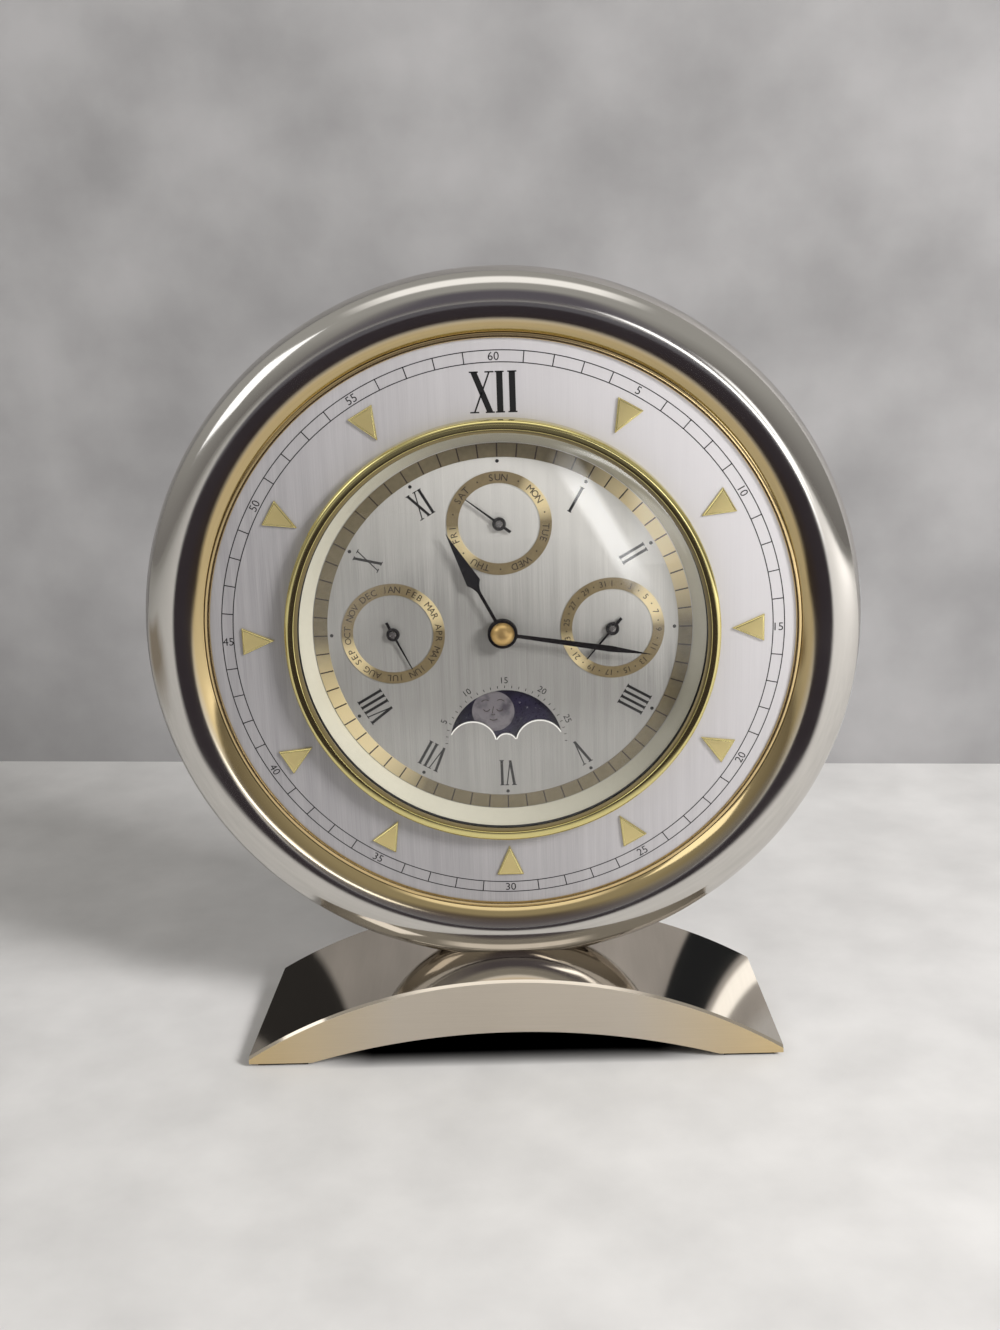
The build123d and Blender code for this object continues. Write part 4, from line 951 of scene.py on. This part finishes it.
def glyph(text):
    """A word as a flat mesh one unit high, its middle at the origin."""
    if text not in glyphs:
        curve = bpy.data.curves.new("glyph", "FONT")
        curve.body = text
        curve.resolution_u = 3
        holder = add_object("glyph", curve)
        mesh = finished_mesh(holder)
        bpy.data.objects.remove(holder)
        low = [min(vert.co[axis] for vert in mesh.vertices) for axis in (0, 1)]
        high = [max(vert.co[axis] for vert in mesh.vertices) for axis in (0, 1)]
        middle = Vector(((low[0] + high[0]) / 2, (low[1] + high[1]) / 2, 0))
        mesh.transform(Matrix.Scale(1 / (high[1] - low[1]), 4) @ Matrix.Translation(-middle))
        glyphs[text] = mesh
    return glyphs[text]


LETTER_SHARES = {"I": 1.0, "V": 1.78, "X": 1.86}


def numeral(ink, text, angle, middle, height, pitch, thick, thin):
    """A Roman numeral of engraved strokes, standing on the side towards the middle."""
    matrix = face_matrix(ink.depth, clock_point(middle, angle), angle)
    widths = [LETTER_SHARES[letter] * pitch for letter in text]
    left = -sum(widths) / 2
    top, low, serif = height / 2, -height / 2, pitch * 0.36
    for letter, width in zip(text, widths):
        centre = left + width / 2
        reach = width / 2 - thick * 0.62
        if letter == "I":
            ink.stroke(matrix, (centre, low), (centre, top), thick)
            feet = [(centre, low, serif), (centre, top, serif)]
        elif letter == "V":
            ink.stroke(matrix, (centre, low), (centre - reach, top), thick)
            ink.stroke(matrix, (centre, low), (centre + reach, top), thin)
            feet = [(centre - reach, top, serif * 1.1), (centre + reach, top, serif * 0.9)]
        else:
            ink.stroke(matrix, (centre + reach, low), (centre - reach, top), thick)
            ink.stroke(matrix, (centre - reach, low), (centre + reach, top), thin)
            feet = [(centre + side * reach, end, serif) for side in (-1, 1) for end in (low, top)]
        for x, y, half in feet:
            ink.stroke(matrix, (x - half, y), (x + half, y), thin * 0.8)
        left += width


# %% [markdown]
# ## Outer dial printing
# Two thin circles make a minute track, with a line for each minute except where a number
# stands. The numbers stand upright in the upper half, and turn over in the lower half so that
# they can be read. A large twelve is printed at the top.

# %% Outer dial printing
outer_ink = Print(DIAL_FACE)
TRACK_OUTER = 70.0
TRACK_INNER = 67.18
CIRCLE_LINE = 0.24
MINUTE_LINE = 0.26
MINUTE_STEP = 6
HOUR_STEP = 30
for radius in (TRACK_OUTER, TRACK_INNER):
    outer_ink.ring(radius, CIRCLE_LINE, steps=240)
for minute in range(60):
    if minute % 5:
        outer_ink.ray(minute * MINUTE_STEP, TRACK_INNER, TRACK_OUTER, MINUTE_LINE)
for number in range(5, 65, 5):
    clock_angle = number * MINUTE_STEP
    upright = clock_angle + 180 if 90 < clock_angle % 360 < 270 else clock_angle
    if clock_angle in (90, 270):
        upright = 0
    track_middle = (TRACK_OUTER + TRACK_INNER) / 2
    outer_ink.write(str(number), clock_angle, track_middle, 2.0, turn=upright)
numeral(outer_ink, "XII", 0, 60.1, 9.6, 3.0, 1.5, 0.42)
outer_ink.done("outer_print", ink_black)

# %% [markdown]
# ## Inner dial printing
# The inner dial has fine numerals, a dot at each hour, and a scale of the moon's age round the
# window. A white line along the window's lower edge is a painted highlight that stands for its
# bright bevel. The bronze minute ring is divided by sixty thin lines, and each small ring
# carries its words or numbers in brown.

# %% Inner dial printing
inner_ink = Print(CENTRE_FACE)
NUMERALS = {1: "I", 2: "II", 4: "IIII", 5: "V", 6: "VI", 7: "VII", 8: "VIII", 10: "X", 11: "XI"}
for hour in range(12):
    inner_ink.dot(hour * HOUR_STEP, 43.0, 0.45)
for hour, text in NUMERALS.items():
    numeral(inner_ink, text, hour * HOUR_STEP, 37.95, 6.7, 1.55, 0.7, 0.3)
MOON_DAY_STEP = 6.8
FULL_MOON_DAY = 15
for day in range(2, 29):
    turn = (day - FULL_MOON_DAY) * MOON_DAY_STEP
    inner_ink.ray(turn, 14.95, 15.6, 0.18, MOON_PLACE)
    if day % 5 == 0:
        inner_ink.write(str(day), turn, 17.0, 1.6, MOON_PLACE)
inner_ink.done("inner_print", ink_black)

# A white painted highlight along the moon window's edges, in place of a bright bevel.
window_rim_highlight = Print(CENTRE_FACE)
RIM_WIDTH = 0.3
CLOUD_RADIUS = 6.2
CLOUD_SWEEP = 141.6
CLOUD_STARTS = {-8.6: -62.9, 8.6: -78.7}
window_rim_highlight.ring(2.8 - RIM_WIDTH / 2, RIM_WIDTH, MOON_PLACE, -64.3, 128.6, 40)
for across, first in CLOUD_STARTS.items():
    cloud_place = (MOON_PLACE[0] + across, MOON_PLACE[1])
    window_rim_highlight.ring(CLOUD_RADIUS - RIM_WIDTH / 2, RIM_WIDTH, cloud_place, first, CLOUD_SWEEP, 60)
window_rim_highlight.done("window_rim_highlight", rim_highlight_white)

ring_ink = Print(APPLIED_FACE)
for minute in range(60):
    ring_ink.ray(minute * MINUTE_STEP, 44.1, 47.45, 0.34)
SMALL_MIDDLE = 11.55
DAYS = ("SUN", "MON", "TUE", "WED", "THU", "FRI", "SAT")
MONTHS = ("JAN", "FEB", "MAR", "APR", "MAY", "JUN", "JUL", "AUG", "SEP", "OCT", "NOV", "DEC")
for index, word in enumerate(DAYS):
    ring_ink.around(word, index * 360 / 7, SMALL_MIDDLE, 1.65, 8.2, DAY_PLACE)
    ring_ink.dot((index + 0.5) * 360 / 7, SMALL_MIDDLE, 0.2, DAY_PLACE, 12)
for index, word in enumerate(MONTHS):
    ring_ink.around(word, index * HOUR_STEP, SMALL_MIDDLE, 1.6, 7.9, MONTH_PLACE)
for date in range(1, 32):
    turn = (date - 1) * 360 / 31
    if date % 2:
        ring_ink.write(str(date), turn, SMALL_MIDDLE, 1.45, DATE_PLACE)
    else:
        ring_ink.dot(turn, SMALL_MIDDLE, 0.18, DATE_PLACE, 12)
ring_ink.done("ring_print", ink_brown)

# %% [markdown]
# ## Moons
# The moon disc carries two moons, so that the next one comes in as the last one leaves. Each
# has a calm, simple face with closed eyes, drawn here from arcs, and small stars fill the sky
# between them.

# %% Moon disc printing
MOON_FACE = -1.8
ORBIT = 9.1
MOON_RADIUS = 5.4
MOON_TURNS = (-20, 160)
moons = Print(MOON_FACE)
face_ink = Print(MOON_FACE - INK_LIFT)
for turn in MOON_TURNS:
    moons.dot(turn, ORBIT, MOON_RADIUS, MOON_PLACE, 72)
    centre = clock_point(ORBIT, turn, MOON_PLACE)
    level = 0 if turn < 0 else 180
    for side in (-1, 1):
        eye = clock_point(1.9, level + side * 62, centre)
        face_ink.ring(0.85, 0.2, eye, level + 110, 140, 16)
        brow = clock_point(2.6, level + side * 46, centre)
        face_ink.ring(1.3, 0.16, brow, level - 45 + side * 8, 90, 12)
    nose = clock_point(0.4, level, centre)
    face_ink.stroke(face_matrix(face_ink.depth, nose, level), (0.1, 0.9), (-0.25, -0.9), 0.16)
    face_ink.ring(0.45, 0.16, clock_point(0.55, level + 180, centre), level + 110, 150, 12)
    face_ink.ring(1.5, 0.2, clock_point(0.9, level + 180, centre), level + 140, 80, 16)
moons.done("moon_faces", moon.material, "moon")
face_ink.done("moon_features", ink_brown, "moon")

stars = Print(MOON_FACE)
SKY_INNER = 4.0
SKY_OUTER = 14.9
STAR_ROOM = 0.4
moon_centres = [Vector(clock_point(ORBIT, turn)) for turn in MOON_TURNS]
dice = random.Random(29)
for star in range(90):
    turn, radius = dice.uniform(0, 360), sqrt(dice.uniform(SKY_INNER**2, SKY_OUTER**2))
    where = Vector(clock_point(radius, turn))
    if any((where - centre).length < MOON_RADIUS + STAR_ROOM for centre in moon_centres):
        continue
    size = dice.choice((0.07, 0.09, 0.12, 0.2))
    stars.dot(turn, radius, size, MOON_PLACE, 4)
    if size > 0.15:
        middle = clock_point(radius, turn, MOON_PLACE)
        lift = face_matrix(stars.depth, middle, turn)
        stars.stroke(lift, (0, -0.42), (0, 0.42), 0.06)
        stars.stroke(lift, (-0.42, 0), (0.42, 0), 0.06)
stars.done("stars", moon.material, "moon")

# %% [markdown]
# ## Room, light and camera
# The clock stands on a pale table in front of a grey wall, which can be seen from its front
# only, so that the clock can be looked at from behind. The lamp to the right is soft and hidden
# from mirrors. What mirrors see are cards, fading at their edges, that nothing else sees: dark
# ones on the table and behind the foot, bright ones for the window and the ceiling. A last
# sheet, black and seen by the camera, is a painted shade on the table under the arch.

# %% Stage
def matte(name, colour, vary, scale, size):
    """A pale matte surface with slow, faint mottling, seen from its front only."""
    finish = Finish(name, roughness=0.7)
    behind = finish.node("ShaderNodeNewGeometry", {}, output="Backfacing")
    finish.set(alpha=1 - behind)
    cloud = finish.noise(scale, 5, finish.place(scale=(*size, 1)))
    dark, light = shaded(colour, 1 - vary), shaded(colour, 1 + vary)
    finish.set(base_color=finish.mix(finish.spread(cloud, 0.3, 0.7), dark, light))
    return finish.material


def sheet(name, centre, size, turn=(0, 0, 0)):
    """A flat sheet of the stage, its size in metres."""
    shape = bmesh.new()
    bmesh.ops.create_grid(shape, x_segments=1, y_segments=1, size=0.5)
    mesh = bpy.data.meshes.new(name)
    shape.to_mesh(mesh)
    shape.free()
    made = add_object(name, mesh)
    made.location = centre
    made.rotation_euler = [radians(part) for part in turn]
    made.scale = (*size, 1)
    return made


def glow(name, colour, strength, soft):
    """A surface that gives an even light, which fades towards its edges."""
    finish = Finish(
        name, base_color=(0, 0, 0), roughness=1.0, specular_ior_level=0.0,
        emission_color=colour, emission_strength=strength,
    )
    fade = 1
    for letter in "XY":
        reach = finish.axis(finish.place(), letter).sum("ABSOLUTE", 0)
        fade = finish.spread(reach, 0.5, 0.5 - soft) * fade
    finish.set(alpha=fade)
    return finish.material


TABLE_SIZE = (6, 6)
WALL_SIZE = (1.8, 1.3)
floor = sheet("floor", (0, 0, 0), TABLE_SIZE)
floor.data.materials.append(matte("table_grey", tone(213, 212, 211), 0.08, 38, TABLE_SIZE))
wall = sheet("wall", (0, 0.195, 0.55), WALL_SIZE, (90, 0, -4.7))
wall.data.materials.append(matte("wall_grey", tone(158, 157, 158), 0.17, 20, WALL_SIZE))

LEVEL, UPRIGHT, WHITE = (0, 0, 0), (90, 0, 0), (1, 1, 1)
CARDS = (
    # name, middle, size, turn, colour, strength, width of the soft edge
    ("dark_table", (-0.012, -0.42, 0.001), (0.32, 0.52), LEVEL, tone(60, 54, 58), 1, 0.12),
    ("grey_table", (-0.012, -0.95, 0.0008), (0.38, 0.9), LEVEL, tone(104, 102, 108), 1, 0.15),
    ("brown_floor", (-0.46, -0.06, 0.001), (0.42, 0.6), LEVEL, tone(146, 136, 122), 1, 0.3),
    ("dark_room", (0.0, -1.3, 0.42), (0.8, 1.0), UPRIGHT, tone(106, 102, 110), 1, 0.3),
    ("window_side", (0.25, -0.8, 0.09), (0.1, 0.26), (90, 0, 12), WHITE, 2.4, 0.3),
    ("window_glint", (0.108, -0.5, 0.1), (0.034, 0.2), (90, -30, 0), WHITE, 4.5, 0.25),
    ("bright_ceiling", (0, -0.8, 1.45), (1.7, 0.9), LEVEL, (1, 0.98, 0.95), 1.4, 0.2),
    ("dark_behind_right", (0.124, 0.165, 0.06), (0.03, 0.13), UPRIGHT, tone(38, 40, 43), 1, 0.06),
    ("dark_behind_left", (-0.152, 0.165, 0.055), (0.052, 0.12), UPRIGHT, tone(48, 47, 47), 1, 0.08),
    ("streak_behind", (0.146, 0.164, 0.045), (0.012, 0.1), UPRIGHT, WHITE, 1.5, 0.15),
    ("pale_behind", (0.2, 0.163, 0.04), (0.08, 0.1), UPRIGHT, tone(196, 197, 200), 1, 0.1),
)
for name, centre, size, turn, colour, strength, soft in CARDS:
    card = sheet(name, centre, size, turn)
    card.data.materials.append(glow(name, colour, strength, soft))
    for ray in ("camera", "diffuse", "shadow", "transmission", "volume_scatter"):
        setattr(card, f"visible_{ray}", False)
print("cards for the mirrors:", len(CARDS))

# A black sheet, fading at its edges, lies as painted shade on the table under the arch.
painted_arch_shade = sheet("painted_arch_shade", (0, -0.0015, 0.0003), (0.109, 0.05))
painted_arch_shade.data.materials.append(glow("arch_shade", (0, 0, 0), 0.0, 0.16))


def lamp(name, place, target, size, power, colour):
    """A soft area lamp that looks at a point."""
    light = bpy.data.lights.new(name, "AREA")
    light.shape = "RECTANGLE"
    light.size, light.size_y = size
    light.energy = power
    light.color = colour
    made = add_object(name, light)
    made.location = place
    aim = Vector(target) - Vector(place)
    made.rotation_euler = aim.to_track_quat("-Z", "Y").to_euler()
    return made


CLOCK_MIDDLE = (0, 0, 0.1)
key = lamp("key", (1.0, -0.75, 0.78), CLOCK_MIDDLE, (0.4, 0.36), 25.0, (1, 0.985, 0.975))
key.visible_glossy = False
lamp("fill", (-1.0, -0.8, 0.8), CLOCK_MIDDLE, (0.55, 0.55), 1.5, (0.97, 0.98, 1))

world = bpy.data.worlds.new("room")
bpy.context.scene.world = world
world.use_nodes = True
room = world.node_tree
where = room.nodes.new("ShaderNodeTexCoord")
split = room.nodes.new("ShaderNodeSeparateXYZ")
ramp = room.nodes.new("ShaderNodeValToRGB")
room.links.new(where.outputs["Generated"], split.inputs[0])
room.links.new(split.outputs["Z"], ramp.inputs["Fac"])
room.links.new(ramp.outputs["Color"], room.nodes["Background"].inputs["Color"])
below, overhead = ramp.color_ramp.elements
below.color = (*tone(168, 164, 160), 1)
overhead.position = 0.5
overhead.color = (*tone(222, 220, 214), 1)
room.nodes["Background"].inputs["Strength"].default_value = 0.62

# %% [markdown]
# The camera stands where the picture was taken: in front, a little to the right and above,
# looking down and slightly tilted.

# %% Camera
EYE = Vector((8.0, -400.9, 223.0)) * MM
yaw, pitch, roll = radians(-1.29), radians(17.12), radians(-1.97)
ahead = Vector((sin(yaw) * cos(pitch), cos(yaw) * cos(pitch), -sin(pitch)))
right = Vector((cos(yaw), -sin(yaw), 0))
above = right.cross(ahead)
tilted_right = right * cos(roll) + above * sin(roll)
tilted_above = above * cos(roll) - right * sin(roll)
lens = bpy.data.cameras.new("camera")
lens.sensor_width = 36.0
lens.lens = 44.72
lens.clip_start = 0.01
camera = add_object("camera", lens)
axes = Matrix((tilted_right, tilted_above, -ahead)).transposed().to_4x4()
camera.matrix_world = Matrix.Translation(EYE) @ axes
scene = bpy.context.scene
scene.camera = camera
scene.view_settings.view_transform = "Standard"
